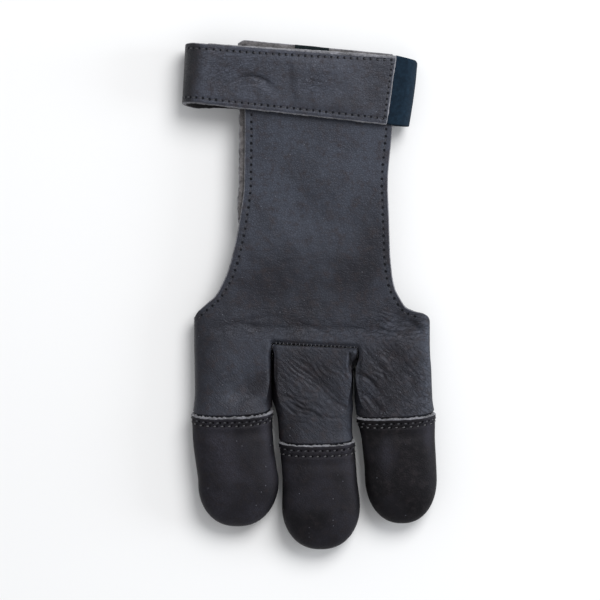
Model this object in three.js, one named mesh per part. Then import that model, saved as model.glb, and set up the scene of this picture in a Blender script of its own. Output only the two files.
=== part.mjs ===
// An archery shooting glove for the three drawing fingers of a right hand, lying palm side down.
// One hide makes the back of the hand and wraps round the ring and index fingers. The middle
// finger's stall is set into it, three thick caps are sewn over the fingertips, a lining stiffens
// the back of the hand, and a leather and elastic strap goes once round the wrist.
// +X runs from the ring finger to the index finger, +Y from the fingertips to the wrist, and +Z
// up from the surface that the glove lies on. Lengths are millimetres.
import * as THREE from "three";

// Leather and cloth
const hideThickness = 1.4;
const liningThickness = 1.2;
const capThickness = 1.8;
const capRimThickness = 1.1;
const strapThickness = 1.6;
const elasticThickness = 1.2;
const patchThickness = 1.2;
const tabThickness = 0.5;
const clearance = 0.3;

// Finger stalls, measured along and across each finger
const ringWidth = 31.2;
const middleWidth = 33.2;
const indexWidth = 28.8;
const ringLength = 72.6;
const middleLength = 81.8;
const indexLength = 71.4;
const ringCapLength = 46.4;
const middleCapLength = 43.7;
const indexCapLength = 43.8;
const stallHeight = 14.2;
const stallGap = 0.6;
const capOverlap = 8.5;
const capFlare = 0.5;
const capEdgeBevel = 1.2;
const seamSlant = 1.8;

// Back of the hand
const panelWidth = 57.3;
const panelOffset = 0.9;
const ringShoulder = 10.8;
const indexShoulder = 9.6;
const palmOpening = 9.0;
const liningShow = 2.4;
const liningRise = 1.9;
const hideTuck = 1.2;

// Wrist strap
const strapWidth = 25.4;
const strapSpan = 91.8;
const strapOffset = -6.3;
const strapCentre = 105.1;
const strapTilt = 5.4;
const strapTaper = 0.13;
const strapSlide = 1.5;
const strapReach = 37.0;
const strapBevel = 0.7;
const foldReach = 8.6;
const elasticReach = 4.6;
const elasticRise = 1.6;
const backSeam = 6.0;
const backOverlap = 11.0;
const elasticHold = 12.0;
const loopHollow = 6.2;
const wristArch = 0.8;
const patchLength = 26.0;
const patchWidth = 20.0;
const tabWidth = 13.4;
const tabOffset = 3.8;
const tabFront = 1.3;
const tabBack = 8.0;

// How finely the surfaces are divided
const around = 24;
const strapColumns = 6;

// Heights that follow from the sizes above
const wristHeight = strapThickness + clearance + elasticThickness + loopHollow
  + liningThickness + clearance + hideThickness;
const patchBase = wristHeight + clearance;
const strapTop = patchBase + patchThickness + clearance + strapThickness;
const elasticTop = patchBase + elasticThickness;
const tilt = THREE.MathUtils.degToRad(strapTilt);

// The three stalls. axis is where each finger's middle line meets the knuckle seam, outer is the
// side that faces away from the middle finger. A profile row gives, at a share of the length, the
// middle line's shift and the half width as shares of the stall's half width, and the height as a
// share of the stall height.
const middleAxis = 0;
const ringAxis = middleAxis - middleWidth / 2 - stallGap - ringWidth / 2;
const indexAxis = middleAxis + middleWidth / 2 + stallGap + indexWidth / 2;

const stalls = {
  ring: {
    axis: ringAxis, width: ringWidth, length: ringLength, capLength: ringCapLength,
    outer: -1, rimTilt: 0.02, rimDip: 0.083, roundFrom: 0.755,
    profile: [
      { along: 0.00, shift: 0.00, girth: 1.00, height: 0.90 },
      { along: 0.26, shift: 0.02, girth: 1.00, height: 0.92 },
      { along: 0.34, shift: 0.00, girth: 1.01, height: 0.97 },
      { along: 0.40, shift: -0.02, girth: 1.03, height: 1.00 },
      { along: 0.52, shift: 0.00, girth: 1.03, height: 1.00 },
      { along: 0.66, shift: 0.08, girth: 1.03, height: 1.00 },
      { along: 0.755, shift: 0.14, girth: 1.035, height: 1.00 },
      { along: 1.00, shift: 0.11, girth: 1.035, height: 1.00 },
    ],
  },
  middle: {
    axis: middleAxis, width: middleWidth, length: middleLength, capLength: middleCapLength,
    outer: 0, rimTilt: 0.005, rimDip: 0.057, roundFrom: 0.79,
    profile: [
      { along: 0.00, shift: 0.00, girth: 1.00, height: 0.90 },
      { along: 0.17, shift: -0.01, girth: 0.99, height: 0.92 },
      { along: 0.29, shift: -0.02, girth: 0.94, height: 0.95 },
      { along: 0.35, shift: -0.01, girth: 0.90, height: 0.97 },
      { along: 0.42, shift: 0.01, girth: 0.89, height: 0.98 },
      { along: 0.49, shift: 0.05, girth: 0.90, height: 1.00 },
      { along: 0.64, shift: 0.11, girth: 0.90, height: 1.01 },
      { along: 0.79, shift: 0.145, girth: 0.94, height: 1.00 },
      { along: 1.00, shift: 0.14, girth: 0.94, height: 1.00 },
    ],
  },
  index: {
    axis: indexAxis, width: indexWidth, length: indexLength, capLength: indexCapLength,
    outer: 1, rimTilt: 0.03, rimDip: 0.059, roundFrom: 0.745,
    profile: [
      { along: 0.00, shift: 0.00, girth: 1.00, height: 0.90 },
      { along: 0.20, shift: -0.01, girth: 1.04, height: 0.92 },
      { along: 0.30, shift: -0.01, girth: 1.07, height: 0.95 },
      { along: 0.37, shift: 0.03, girth: 1.09, height: 0.98 },
      { along: 0.42, shift: 0.06, girth: 1.08, height: 1.00 },
      { along: 0.53, shift: 0.12, girth: 1.02, height: 1.00 },
      { along: 0.735, shift: 0.19, girth: 1.00, height: 1.00 },
      { along: 1.00, shift: 0.22, girth: 1.00, height: 1.00 },
    ],
  },
};

// The sides of the back of the hand. along is a share of the way from the shoulder to the top
// edge, ring and index are shares of the flare from the panel's side out to the knuckles.
const sides = [
  { along: 0.000, ring: 1.00, index: 1.00 },
  { along: 0.012, ring: 0.96, index: 0.97 },
  { along: 0.024, ring: 0.91, index: 0.86 },
  { along: 0.034, ring: 0.85, index: 0.58 },
  { along: 0.050, ring: 0.75, index: 0.38 },
  { along: 0.080, ring: 0.57, index: 0.25 },
  { along: 0.115, ring: 0.46, index: 0.13 },
  { along: 0.170, ring: 0.33, index: 0.05 },
  { along: 0.260, ring: 0.20, index: 0.00 },
  { along: 0.360, ring: 0.10, index: -0.02 },
  { along: 0.500, ring: 0.01, index: -0.05 },
  { along: 0.720, ring: 0.00, index: 0.06 },
  { along: 1.000, ring: 0.02, index: 0.08 },
];

// How far the lining's edges lie outside the hide's, as shares of liningShow.
const liningEdges = [
  { along: 0.00, ring: -1.2, index: -1.2 },
  { along: 0.20, ring: -0.5, index: -0.4 },
  { along: 0.31, ring: -0.1, index: -0.2 },
  { along: 0.42, ring: 0.9, index: -0.2 },
  { along: 0.60, ring: 0.95, index: -0.2 },
  { along: 0.80, ring: 0.95, index: -0.2 },
  { along: 1.00, ring: 1.0, index: 0.1 },
];

// Broad dents of the hide. across is a share of the knuckle half width from the middle finger's
// line, along a share of the panel's length above the knuckle seam, length and width shares of
// the panel's width, depth a share of the hide's thickness, turn degrees from straight across.
const folds = [
  { across: 0.00, along: 0.130, length: 1.30, width: 0.260, depth: 1.10, turn: 0 },
  { across: 0.02, along: 0.070, length: 0.62, width: 0.070, depth: 0.75, turn: 0 },
  { across: 0.74, along: 0.085, length: 0.10, width: 0.075, depth: 0.80, turn: -30 },
  { across: -0.45, along: -0.120, length: 0.22, width: 0.110, depth: 0.45, turn: 12 },
  { across: 0.10, along: 0.420, length: 0.30, width: 0.160, depth: 0.40, turn: -15 },
];

// Dents of the strap's front: place and size are shares of strapWidth from the strap's middle.
const strapDents = [
  { across: -0.59, along: 0.00, length: 0.34, width: 0.16, depth: 0.45 },
];

// A column of a table read at a share of its length, smooth and without overshoot between rows.
function readTable(rows, column, share) {
  const last = rows.length - 1;
  if (share <= rows[0].along) return rows[0][column];
  if (share >= rows[last].along) return rows[last][column];
  const i = rows.findIndex((row) => row.along > share) - 1;
  const slope = (k) => (rows[k + 1][column] - rows[k][column]) / (rows[k + 1].along - rows[k].along);
  const tangent = (k) => {
    if (k === 0 || k === last) return slope(Math.min(k, last - 1));
    const before = slope(k - 1);
    const after = slope(k);
    return before * after <= 0 ? 0 : (2 * before * after) / (before + after);
  };
  const step = rows[i + 1].along - rows[i].along;
  const t = (share - rows[i].along) / step;
  return rows[i][column] * (1 + 2 * t) * (1 - t) ** 2
    + rows[i + 1][column] * t * t * (3 - 2 * t)
    + step * (tangent(i) * t * (1 - t) ** 2 - tangent(i + 1) * t * t * (1 - t));
}

const smooth = (from, to, value) => THREE.MathUtils.smoothstep(value, from, to);
const mix = THREE.MathUtils.lerp;

// An open surface of shared points, to be thickened into a wall on its inner side. Each point has
// its own wall, and a lip that moves the wall's inner point so that a cut edge shows.
class Skin {
  constructor() {
    this.points = [];
    this.walls = [];
    this.lips = [];
    this.faces = [];
  }

  add(x, y, z, wall, lip = [0, 0, 0]) {
    this.walls.push(wall);
    this.lips.push(lip);
    return this.points.push(new THREE.Vector3(x, y, z)) - 1;
  }

  quad(a, b, c, d) {
    this.faces.push([a, b, c], [a, c, d]);
  }

  // Joins rows of point numbers, each row as long as the next. The side that faces the viewer has
  // rows going down and columns going right.
  weave(rows, closed = false) {
    rows.slice(1).forEach((lower, r) => {
      const upper = rows[r];
      const columns = closed ? upper.length : upper.length - 1;
      for (let c = 0; c < columns; c++) {
        const next = (c + 1) % upper.length;
        this.quad(upper[c], lower[c], lower[next], upper[next]);
      }
    });
  }

  close(row, tip) {
    row.forEach((point, c) => this.faces.push([point, tip, row[(c + 1) % row.length]]));
  }

  // The closed wall between the surface and its offset.
  thicken() {
    const count = this.points.length;
    const normals = this.points.map(() => new THREE.Vector3());
    const edge = new THREE.Vector3();
    const other = new THREE.Vector3();
    this.faces.forEach(([a, b, c]) => {
      edge.subVectors(this.points[b], this.points[a]);
      other.subVectors(this.points[c], this.points[a]);
      const area = edge.clone().cross(other);
      [a, b, c].forEach((corner) => normals[corner].add(area));
    });
    const inner = this.points.map((point, i) => point.clone()
      .addScaledVector(normals[i].normalize(), -this.walls[i])
      .add(new THREE.Vector3(...this.lips[i])));
    const used = new Set(this.faces.flatMap(([a, b, c]) => [`${a},${b}`, `${b},${c}`, `${c},${a}`]));
    const triangles = [];
    this.faces.forEach(([a, b, c]) => {
      triangles.push(a, b, c, count + a, count + c, count + b);
      [[a, b], [b, c], [c, a]].forEach(([from, to]) => {
        if (used.has(`${to},${from}`)) return;
        triangles.push(to, from, count + from, to, count + from, count + to);
      });
    });
    const geometry = new THREE.BufferGeometry();
    const all = [...this.points, ...inner].flatMap((point) => point.toArray());
    geometry.setAttribute("position", new THREE.Float32BufferAttribute(all, 3));
    geometry.setIndex(triangles);
    geometry.computeVertexNormals();
    return geometry;
  }
}

// Finger stalls

const capStart = (stall) => 1 - stall.capLength / stall.length;
const sectionPower = 2.7;
const squareFade = 14;

// How much of the cap's wall has built up at a distance past its rim.
const capWall = (pastRim) => mix(capRimThickness, capThickness, smooth(0, capOverlap, pastRim));

// The rim stands out a little, and the cap draws in below it.
const flare = (pastRim) => capFlare * (1 - smooth(0, capOverlap / 2, pastRim));

// The cap's rim sits lower on top of the finger than at its sides, and a little askew.
function rimY(stall, angle) {
  const dip = stall.rimDip * Math.max(0, Math.sin(angle)) - stall.rimTilt * Math.cos(angle);
  return -stall.length * capStart(stall) - dip * stall.width;
}

// The visible outline of a stall at a height y: middle line, half width, top and bottom.
function stallOutline(stall, y) {
  const along = THREE.MathUtils.clamp(-y / stall.length, 0, 1);
  const half = stall.width / 2;
  const top = stallHeight * readTable(stall.profile, "height", along);
  return {
    middle: stall.axis + half * readTable(stall.profile, "shift", along),
    half: half * readTable(stall.profile, "girth", along),
    top,
    bottom: -0.04 * stallHeight,
  };
}

// One point of a section. The angle runs from the ring side (180 degrees) over the top to the
// index side (0) and underneath. square turns a corner's round into a right angle, and lift is
// the height that the section rests at.
function sectionPoint(outline, angle, inset, square, lift) {
  const c = Math.cos(angle);
  const s = Math.sin(angle);
  const round = (v) => Math.sign(v) * Math.abs(v) ** (2 / sectionPower);
  const reach = Math.max(Math.abs(c), Math.abs(s));
  const u = mix(round(c), c / reach, square);
  const v = mix(round(s), s / reach, square);
  const mid = (outline.top + outline.bottom) / 2;
  const rise = (outline.top - outline.bottom) / 2 - inset;
  return [outline.middle + (outline.half - inset) * u, Math.max(mid + rise * v, lift)];
}

// The back of the hand

const ringSide = ringAxis - ringWidth / 2;
const indexSide = indexAxis + indexWidth / 2;
const panelMiddle = middleAxis + panelOffset;
const panelRing = panelMiddle - panelWidth / 2;
const panelIndex = panelMiddle + panelWidth / 2;

// The lining's top edge runs parallel to the tilted strap, and the hide ends a little below it.
const liningTop = (x) => strapCentre + (strapWidth / 2 + liningRise) / Math.cos(tilt)
  - (x - strapOffset) * Math.tan(tilt);
const hideTop = (x) => liningTop(x) - liningRise - hideTuck;
const panelLength = liningTop(panelMiddle);

const ringEdge = (y) => panelRing
  + (ringSide - panelRing) * readTable(sides, "ring", (y - ringShoulder) / (panelLength - ringShoulder));
const indexEdge = (y) => panelIndex
  + (indexSide - panelIndex) * readTable(sides, "index", (y - indexShoulder) / (panelLength - indexShoulder));

// A height over the hand or a finger's back with the folds pressed in. They fade out down the
// sides, and under the strap.
function pressFolds(x, y, z) {
  const wristFrom = strapCentre - strapWidth;
  const { top, bottom } = stallOutline(stalls.ring, 0);
  const middle = (top + bottom) / 2;
  const sideShare = THREE.MathUtils.clamp((z - middle) / (top - middle), 0, 1);
  return z - foldDepth(x, y) * sideShare * (1 - smooth(wristFrom - strapWidth, wristFrom, y));
}

function foldDepth(x, y) {
  return folds.reduce((sum, dent) => {
    const turn = THREE.MathUtils.degToRad(dent.turn);
    const dx = x - dent.across * (indexSide - ringSide) / 2;
    const dy = y - dent.along * panelLength;
    const u = (dx * Math.cos(turn) + dy * Math.sin(turn)) / (dent.length * panelWidth);
    const v = (dy * Math.cos(turn) - dx * Math.sin(turn)) / (dent.width * panelWidth);
    return sum + dent.depth * hideThickness * Math.exp(-u * u * u * u - v * v);
  }, 0);
}

// Height of the hide's outer face over the hand: level at the wrist, bending down at both sides
// where it wraps round the ring and index fingers.
function handHeight(x, y) {
  const knuckle = stallHeight * stalls.ring.profile[0].height;
  const wristFrom = strapCentre - strapWidth;
  const top = mix(knuckle, wristHeight, smooth(0, wristFrom, y));
  const arch = wristArch * Math.cos(Math.PI * (x - panelMiddle) / (1.5 * panelWidth)) ** 2;
  const archShare = smooth(0, wristFrom, y);
  const beyond = Math.max((ringAxis - x) / (ringWidth / 2), (x - indexAxis) / (indexWidth / 2), 0);
  const outline = stallOutline(stalls.ring, 0);
  const rise = (outline.top - outline.bottom) / 2;
  const drop = rise * (1 - Math.max(0, 1 - Math.min(1, beyond) ** sectionPower) ** (1 / sectionPower));
  return pressFolds(x, y, top + arch * archShare - drop);
}

// A point a given depth below the hide's outer face.
function underHide(x, y, depth) {
  const step = 0.5;
  const slopeX = (handHeight(x + step, y) - handHeight(x - step, y)) / (2 * step);
  const slopeY = (handHeight(x, y + step) - handHeight(x, y - step)) / (2 * step);
  const length = Math.hypot(slopeX, slopeY, 1);
  return [
    x + depth * slopeX / length,
    y + depth * slopeY / length,
    handHeight(x, y) - depth / length,
  ];
}

const quarter = around / 4;
const corner = around / 8;
const sectionAngle = (k) => Math.PI - (2 * Math.PI * k) / around;

// Where a side stall's mouth runs: from the shoulder at the outer side over the back to the
// corner of the knuckle seam, down the inner side, and back under the finger to the shoulder.
function mouthY(stall, angle) {
  const shoulder = stall.outer < 0 ? ringShoulder : indexShoulder;
  const seam = stall.outer * seamSlant / -2;
  const inward = (1 - stall.outer * Math.cos(angle)) / 2;
  if (Math.sin(angle) >= 0) return mix(shoulder, seam, smooth(0, 0.85, inward));
  return mix(shoulder, seam - palmOpening * Math.abs(Math.sin(angle)), smooth(0, 0.6, inward));
}

// Where a sleeve has rows: shares of the way from its mouth to where it starts to draw in for the
// cap, then shares of the way down to the rim, then shares of the overlap inside the cap.
const openRows = [0.09, 0.22, 0.38, 0.58, 0.8, 1];
const neckRows = [0.4, 0.72, 1];
const hiddenRows = [0.35, 1];
const neckLength = 2 * capThickness;

// One point of a sleeve: it follows the stall's outline, then tucks in under the cap.
function sleevePoint(stall, y, angle, square) {
  const pastRim = rimY(stall, angle) - y;
  const room = capWall(Math.max(pastRim, 0)) + clearance * 1.5;
  const tuck = smooth(-neckLength, 0, pastRim);
  const inset = tuck * (room - flare(pastRim));
  const [x, z] = sectionPoint(stallOutline(stall, y), angle, inset, square, tuck * room);
  return [x, y, pressFolds(x, y, z)];
}

// A sleeve's rows below its mouth. sharp says how square each angle's corner is at the mouth.
function addSleeveRows(skin, stall, mouth, mouthAt, sharp) {
  const heights = [
    ...openRows.map((share) => (angle) => mix(mouthAt(angle), rimY(stall, angle) + neckLength, share)),
    ...neckRows.map((share) => (angle) => rimY(stall, angle) + neckLength * (1 - share)),
    ...hiddenRows.map((share) => (angle) => rimY(stall, angle) - capOverlap * share),
  ];
  const below = heights.map((heightAt) => mouth.map((_, k) => {
    const angle = sectionAngle(k);
    const y = heightAt(angle);
    const square = sharp(angle) * (1 - smooth(0, squareFade, mouthAt(angle) - y));
    return skin.add(...sleevePoint(stall, y, angle, square), hideThickness);
  }));
  skin.weave([mouth, ...below], true);
}

// The corner beside the middle finger is square at the seam.
const innerSquare = (stall) => (angle) => (
  Math.sin(angle) > 0 ? smooth(0, 0.4, -stall.outer * Math.cos(angle)) : 0
);

function handHide() {
  const skin = new Skin();
  const point = (stall, k) => {
    const angle = sectionAngle(k);
    const y = mouthY(stall, angle);
    const [x, , z] = sleevePoint(stall, y, angle, innerSquare(stall)(angle));
    return { x, y, z };
  };
  // The bottom row of the panel: over the ring finger, along the knuckle seam, over the index.
  const ringBack = Array.from({ length: 3 * corner + 1 }, (_, k) => point(stalls.ring, k));
  const indexBack = Array.from({ length: 3 * corner + 1 }, (_, k) => point(stalls.index, k + corner));
  const seamStart = ringBack.at(-1);
  const seamEnd = indexBack[0];
  const seamPoints = [0.2, 0.4, 0.6, 0.8].map((share) => {
    const x = mix(seamStart.x, seamEnd.x, share);
    const y = mix(seamStart.y, seamEnd.y, share);
    return { x, y, z: handHeight(x, y) };
  });
  const bottom = [...ringBack, ...seamPoints, ...indexBack];
  const rowShares = [1, 0.87, 0.76, 0.64, 0.52, 0.42, 0.33, 0.25, 0.18, 0.13, 0.09, 0.06, 0.036, 0.017];
  const width = indexSide - ringSide;
  const panel = rowShares.map((share) => bottom.map((low) => {
    const across = (low.x - ringSide) / width;
    const xTop = mix(ringEdge(panelLength), indexEdge(panelLength), across);
    const y = mix(low.y, hideTop(xTop), share);
    const x = mix(ringEdge(y), indexEdge(y), across);
    return skin.add(x, y, handHeight(x, y), hideThickness);
  }));
  const last = bottom.map((low) => skin.add(low.x, low.y, low.z, hideThickness));
  skin.weave([...panel, last]);
  [stalls.ring, stalls.index].forEach((stall) => {
    const shared = stall.outer < 0
      ? (k) => (k <= 3 * corner ? last[k] : undefined)
      : (k) => (k >= corner && k <= 4 * corner ? last[last.length - 1 - 4 * corner + k] : undefined);
    const mouth = Array.from({ length: around }, (_, k) => {
      if (shared(k) !== undefined) return shared(k);
      const at = point(stall, k);
      return skin.add(at.x, at.y, at.z, hideThickness);
    });
    addSleeveRows(skin, stall, mouth, (angle) => mouthY(stall, angle), innerSquare(stall));
  });
  return skin.thicken();
}

// The middle finger's sleeve starts below the knuckle seam, square where its sides meet it.
function middleSleeve() {
  const skin = new Skin();
  const stall = stalls.middle;
  const seam = (angle) => -clearance * 2 - seamSlant / 2 * Math.cos(angle);
  const mouthAt = (angle) => seam(angle) - palmOpening * Math.max(0, -Math.sin(angle));
  const square = (angle) => smooth(-0.2, 0.3, Math.sin(angle));
  const mouth = Array.from({ length: around }, (_, k) => {
    const angle = sectionAngle(k);
    return skin.add(...sleevePoint(stall, mouthAt(angle), angle, square(angle)), hideThickness);
  });
  addSleeveRows(skin, stall, mouth, mouthAt, square);
  return skin.thicken();
}

// A fingertip cap: straight rows from the bevelled rim, then a rounded end closed at the tip.
function fingerCap(stall) {
  const skin = new Skin();
  const angles = Array.from({ length: around }, (_, k) => sectionAngle(k));
  const roundY = -stall.length * stall.roundFrom;
  const ringOf = (yAt, shape) => angles.map((angle) => {
    const y = yAt(angle);
    const pastRim = rimY(stall, angle) - y;
    const [x, z] = shape(y, angle);
    const lip = pastRim < capEdgeBevel * 1.01 ? [0, capEdgeBevel, 0] : [0, 0, 0];
    return skin.add(x, y, z, capWall(pastRim), lip);
  });
  const straight = [0, 0.12, 0.35, 0.65, 1].map((share) => ringOf(
    (angle) => mix(rimY(stall, angle) - capEdgeBevel, roundY, share),
    (y, angle) => sectionPoint(stallOutline(stall, y), angle, -flare(rimY(stall, angle) - y), 0, 0),
  ));
  const start = stallOutline(stall, roundY);
  const tipZ = 0.42 * stallHeight;
  const tip = stallOutline(stall, -stall.length);
  const endRings = [20, 38, 54, 68, 80].map((degrees) => {
    const turn = THREE.MathUtils.degToRad(degrees);
    const y = roundY - (stall.length + roundY) * Math.sin(turn);
    const mid = mix((start.top + start.bottom) / 2, tipZ, Math.sin(turn) ** 2);
    const rise = (start.top - start.bottom) / 2 * Math.cos(turn) ** 0.75;
    const outline = {
      middle: mix(start.middle, tip.middle, Math.sin(turn)),
      half: start.half * Math.cos(turn) ** 0.88,
      top: mid + rise,
      bottom: mid - rise,
    };
    return ringOf(() => y, (_, angle) => sectionPoint(outline, angle, 0, 0, 0));
  });
  skin.weave([...straight, ...endRings], true);
  skin.close(endRings.at(-1), skin.add(tip.middle, -stall.length, tipZ, capThickness));
  return skin.thicken();
}

// The lining is sewn under the hide from the wrist to the shoulders, flesh side up, and shows past
// the hide at the wrist and along the ring side.
function backLining() {
  const skin = new Skin();
  const lowest = Math.max(ringShoulder, indexShoulder) + liningShow;
  const edge = (side, y) => {
    const share = (y - lowest) / (panelLength - lowest);
    return liningShow * readTable(liningEdges, side, share);
  };
  const acrossShares = [0, 0.05, 0.18, 0.34, 0.5, 0.66, 0.82, 0.95, 1];
  const rowShares = [1, 0.975, 0.86, 0.74, 0.62, 0.5, 0.4, 0.3, 0.21, 0.13, 0.06, 0];
  const depth = hideThickness + clearance;
  const rows = rowShares.map((share) => acrossShares.map((across) => {
    const xTop = mix(ringEdge(panelLength) - edge("ring", panelLength), indexEdge(panelLength), across);
    const y = mix(lowest, liningTop(xTop), share);
    const x = mix(ringEdge(y) - edge("ring", y), indexEdge(y) + edge("index", y), across);
    return skin.add(...underHide(x, y, depth), liningThickness);
  }));
  skin.weave(rows);
  return skin.thicken();
}

// Wrist pieces, made in a frame that is turned with the strap: x along the strap, y across it.

const archAt = (x) => wristArch * Math.cos(Math.PI * (x + strapOffset - panelMiddle) / (1.5 * panelWidth)) ** 2
  * (Math.abs(x + strapOffset - panelMiddle) < 0.75 * panelWidth ? 1 : 0);

function strapDent(x, y) {
  return strapDents.reduce((sum, dent) => {
    const u = (x / strapWidth - dent.across) / dent.length;
    const v = (y / strapWidth - dent.along) / dent.width;
    return sum + dent.depth * strapThickness * Math.exp(-u * u - v * v);
  }, 0);
}

// A band of leather or webbing. route gives x, z and width along its outer face, and how far the
// band has slid sideways there.
function band(route, columns, wall, bevel, relief = () => 0) {
  const skin = new Skin();
  const rows = Array.from({ length: columns + 1 }, (_, c) => {
    const lipY = c === 0 ? bevel : c === columns ? -bevel : 0;
    return route.map(({ x, z, width, slide }, r) => {
      const y = slide + (width / 2 - bevel) * (1 - 2 * c / columns);
      const lipX = r === route.length - 1 ? bevel : 0;
      return skin.add(x, y, z - relief(x, y, r), wall, [lipX, lipY, 0]);
    });
  });
  skin.weave(rows);
  return skin.thicken();
}

const arc = (from, to, steps, centreX, centreZ, reachX, reachZ) => Array.from(
  { length: steps + 1 },
  (_, i) => {
    const turn = THREE.MathUtils.degToRad(mix(from, to, i / steps));
    return [centreX + reachX * Math.cos(turn), centreZ + reachZ * Math.sin(turn)];
  },
);

const spread = (from, to, steps) => Array.from({ length: steps }, (_, i) => mix(from, to, i / steps));

// The leather strap: from its sewn end under the wrist, round the ring side, over the back of the
// hand to its free end.
function strap() {
  const foldX = -strapSpan / 2 + foldReach;
  const half = strapTop / 2;
  const back = spread(backSeam, foldX, 5).map((x) => [x, 0]);
  const bend = arc(-90, -270, 10, foldX, half, foldReach, half);
  const reach = strapReach - strapBevel;
  const front = [...spread(foldX, reach, 14), reach].slice(1).map((x) => [x, strapTop + archAt(x)]);
  const frontFrom = back.length + bend.length;
  const route = [...back, ...bend, ...front].map(([x, z], r) => ({
    x,
    z,
    width: strapWidth * (1 + strapTaper * (r < frontFrom ? foldX : x) / strapSpan),
    slide: -strapSlide * (r < frontFrom ? 1 - smooth(0, strapTop, z) : 0),
  }));
  return band(route, strapColumns, strapThickness, strapBevel,
    (x, y, r) => (r >= frontFrom ? strapDent(x, y) : 0));
}

// The elastic: its front end lies under the strap's free end, and it goes round the index side to
// the strap's other end, which it overlaps on the inner side.
function elastic() {
  const foldX = strapSpan / 2 - elasticReach;
  const half = elasticTop / 2;
  const start = strapReach - elasticHold;
  const front = spread(start, foldX, 7).map((x) => [x, elasticTop + archAt(x)]);
  const bend = arc(90, -90, 10, foldX, half, elasticReach, half);
  const lift = strapThickness + clearance;
  const ramp = [1.0, 0.7, 0.3, 0].map((share) => [
    backSeam + clearance * 2 + 7 * share, lift * (1 - smooth(0.2, 0.9, share)),
  ]);
  const back = [[mix(foldX, backSeam, 0.35), 0], [mix(foldX, backSeam, 0.65), 0], ...ramp,
    [backSeam - backOverlap, lift]];
  const route = [...front, ...bend, ...back].map(([x, z], r) => ({
    x,
    z,
    width: strapWidth,
    slide: mix(-strapSlide * 0.8, elasticRise, r < front.length ? 1 : smooth(0, elasticTop, z)
      * (x > strapReach ? 1 : 0)),
  }));
  return band(route, 2, elasticThickness, 0);
}

// The fastener between the strap's free end and the hide, hook and loop closed into one pad.
function closurePatch() {
  const end = strapReach - elasticHold - clearance * 4;
  const route = [...spread(end - patchLength, end, 6), end].map((x) => ({
    x, z: patchBase + patchThickness + archAt(x), width: patchWidth, slide: 0,
  }));
  return band(route, 1, patchThickness, 0);
}

// A plain woven tab folded over the lining's top edge.
function sizeTab() {
  const edgeY = strapWidth / 2 + liningRise;
  const liningFace = wristHeight - hideThickness - clearance;
  const half = (liningThickness + 2 * clearance) / 2 + tabThickness;
  const middle = liningFace - liningThickness / 2;
  const turnY = edgeY + clearance - half + tabThickness;
  const bend = arc(90, -90, 8, turnY, middle, half, half);
  const route = [[edgeY - tabFront, middle + half], ...bend, [edgeY - tabBack, middle - half]];
  const skin = new Skin();
  const rows = [0, 0.5, 1].map((share) => {
    const x = tabOffset + tabWidth * (0.5 - share);
    return route.map(([y, z]) => skin.add(x, y, z + archAt(x), tabThickness));
  });
  skin.weave(rows);
  return skin.thicken();
}

// Materials

const finish = (color, roughness) => new THREE.MeshStandardMaterial({ color, roughness, metalness: 0 });
const hide = finish(0x2e2b2d, 0.55);
const capLeather = finish(0x211f21, 0.5);
const suede = finish(0x6a6564, 0.95);
const strapHide = finish(0x33333a, 0.55);
const webbing = finish(0x16242f, 0.85);
const hookAndLoop = finish(0x151518, 0.95);
const wovenTab = finish(0x10191c, 0.9);

function piece(name, geometry, material) {
  const mesh = new THREE.Mesh(geometry, material);
  mesh.name = name;
  return mesh;
}

// Assembly

const glove = new THREE.Group();
glove.add(
  piece("hand_hide", handHide(), hide),
  piece("back_lining", backLining(), suede),
  piece("middle_sleeve", middleSleeve(), hide),
  piece("ring_cap", fingerCap(stalls.ring), capLeather),
  piece("middle_cap", fingerCap(stalls.middle), capLeather),
  piece("index_cap", fingerCap(stalls.index), capLeather),
);

const wrist = new THREE.Group();
wrist.add(
  piece("wrist_strap", strap(), strapHide),
  piece("elastic_band", elastic(), webbing),
  piece("closure_patch", closurePatch(), hookAndLoop),
  piece("size_tab", sizeTab(), wovenTab),
);
wrist.position.set(strapOffset, strapCentre, 0);
wrist.rotation.z = -tilt;
glove.add(wrist);

// The origin is the middle of the base.
glove.updateMatrixWorld(true);
const box = new THREE.Box3().setFromObject(glove, true);
glove.position.set(-(box.min.x + box.max.x) / 2, -(box.min.y + box.max.y) / 2, -box.min.z);
glove.updateMatrixWorld(true);

export default glove;
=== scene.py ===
import bpy
import numpy as np
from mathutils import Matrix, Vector


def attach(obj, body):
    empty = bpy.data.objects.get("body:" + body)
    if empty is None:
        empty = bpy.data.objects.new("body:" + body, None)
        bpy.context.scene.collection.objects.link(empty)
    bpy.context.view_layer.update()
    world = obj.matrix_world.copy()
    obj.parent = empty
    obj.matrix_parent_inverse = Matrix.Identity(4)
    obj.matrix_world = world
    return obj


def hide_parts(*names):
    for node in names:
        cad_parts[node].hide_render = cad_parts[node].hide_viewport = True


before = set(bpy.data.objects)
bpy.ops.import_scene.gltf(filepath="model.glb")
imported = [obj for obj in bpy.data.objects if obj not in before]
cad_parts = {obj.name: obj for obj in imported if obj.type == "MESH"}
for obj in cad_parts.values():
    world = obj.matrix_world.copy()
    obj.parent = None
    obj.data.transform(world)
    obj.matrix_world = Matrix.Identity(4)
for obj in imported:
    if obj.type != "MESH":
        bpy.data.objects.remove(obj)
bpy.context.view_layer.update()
print("frame loaded")

# Glove coordinates are millimetres from the middle of the knuckle seam: +x to the index finger,
# +y to the wrist, +z up from the table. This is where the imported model's origin lies from there.
gloveOrigin = np.array([2.187, -20.129, 0.0])
perMetre = 1000

# Wall of each kind of piece, and the gap that stitches would close, in millimetres
leather = {"hide": 1.4, "lining": 1.2, "cap": 1.8, "capRim": 1.1, "strap": 1.6, "elastic": 1.2,
           "patch": 1.2, "tab": 0.5, "clearance": 0.3}

rng = np.random.default_rng(20)
upward = np.array([0.0, 0.0, 1.0])
toWrist = np.array([0.0, 1.0, 0.0])
farAway = 50.0  # stands for "no seam near here", in millimetres


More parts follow.
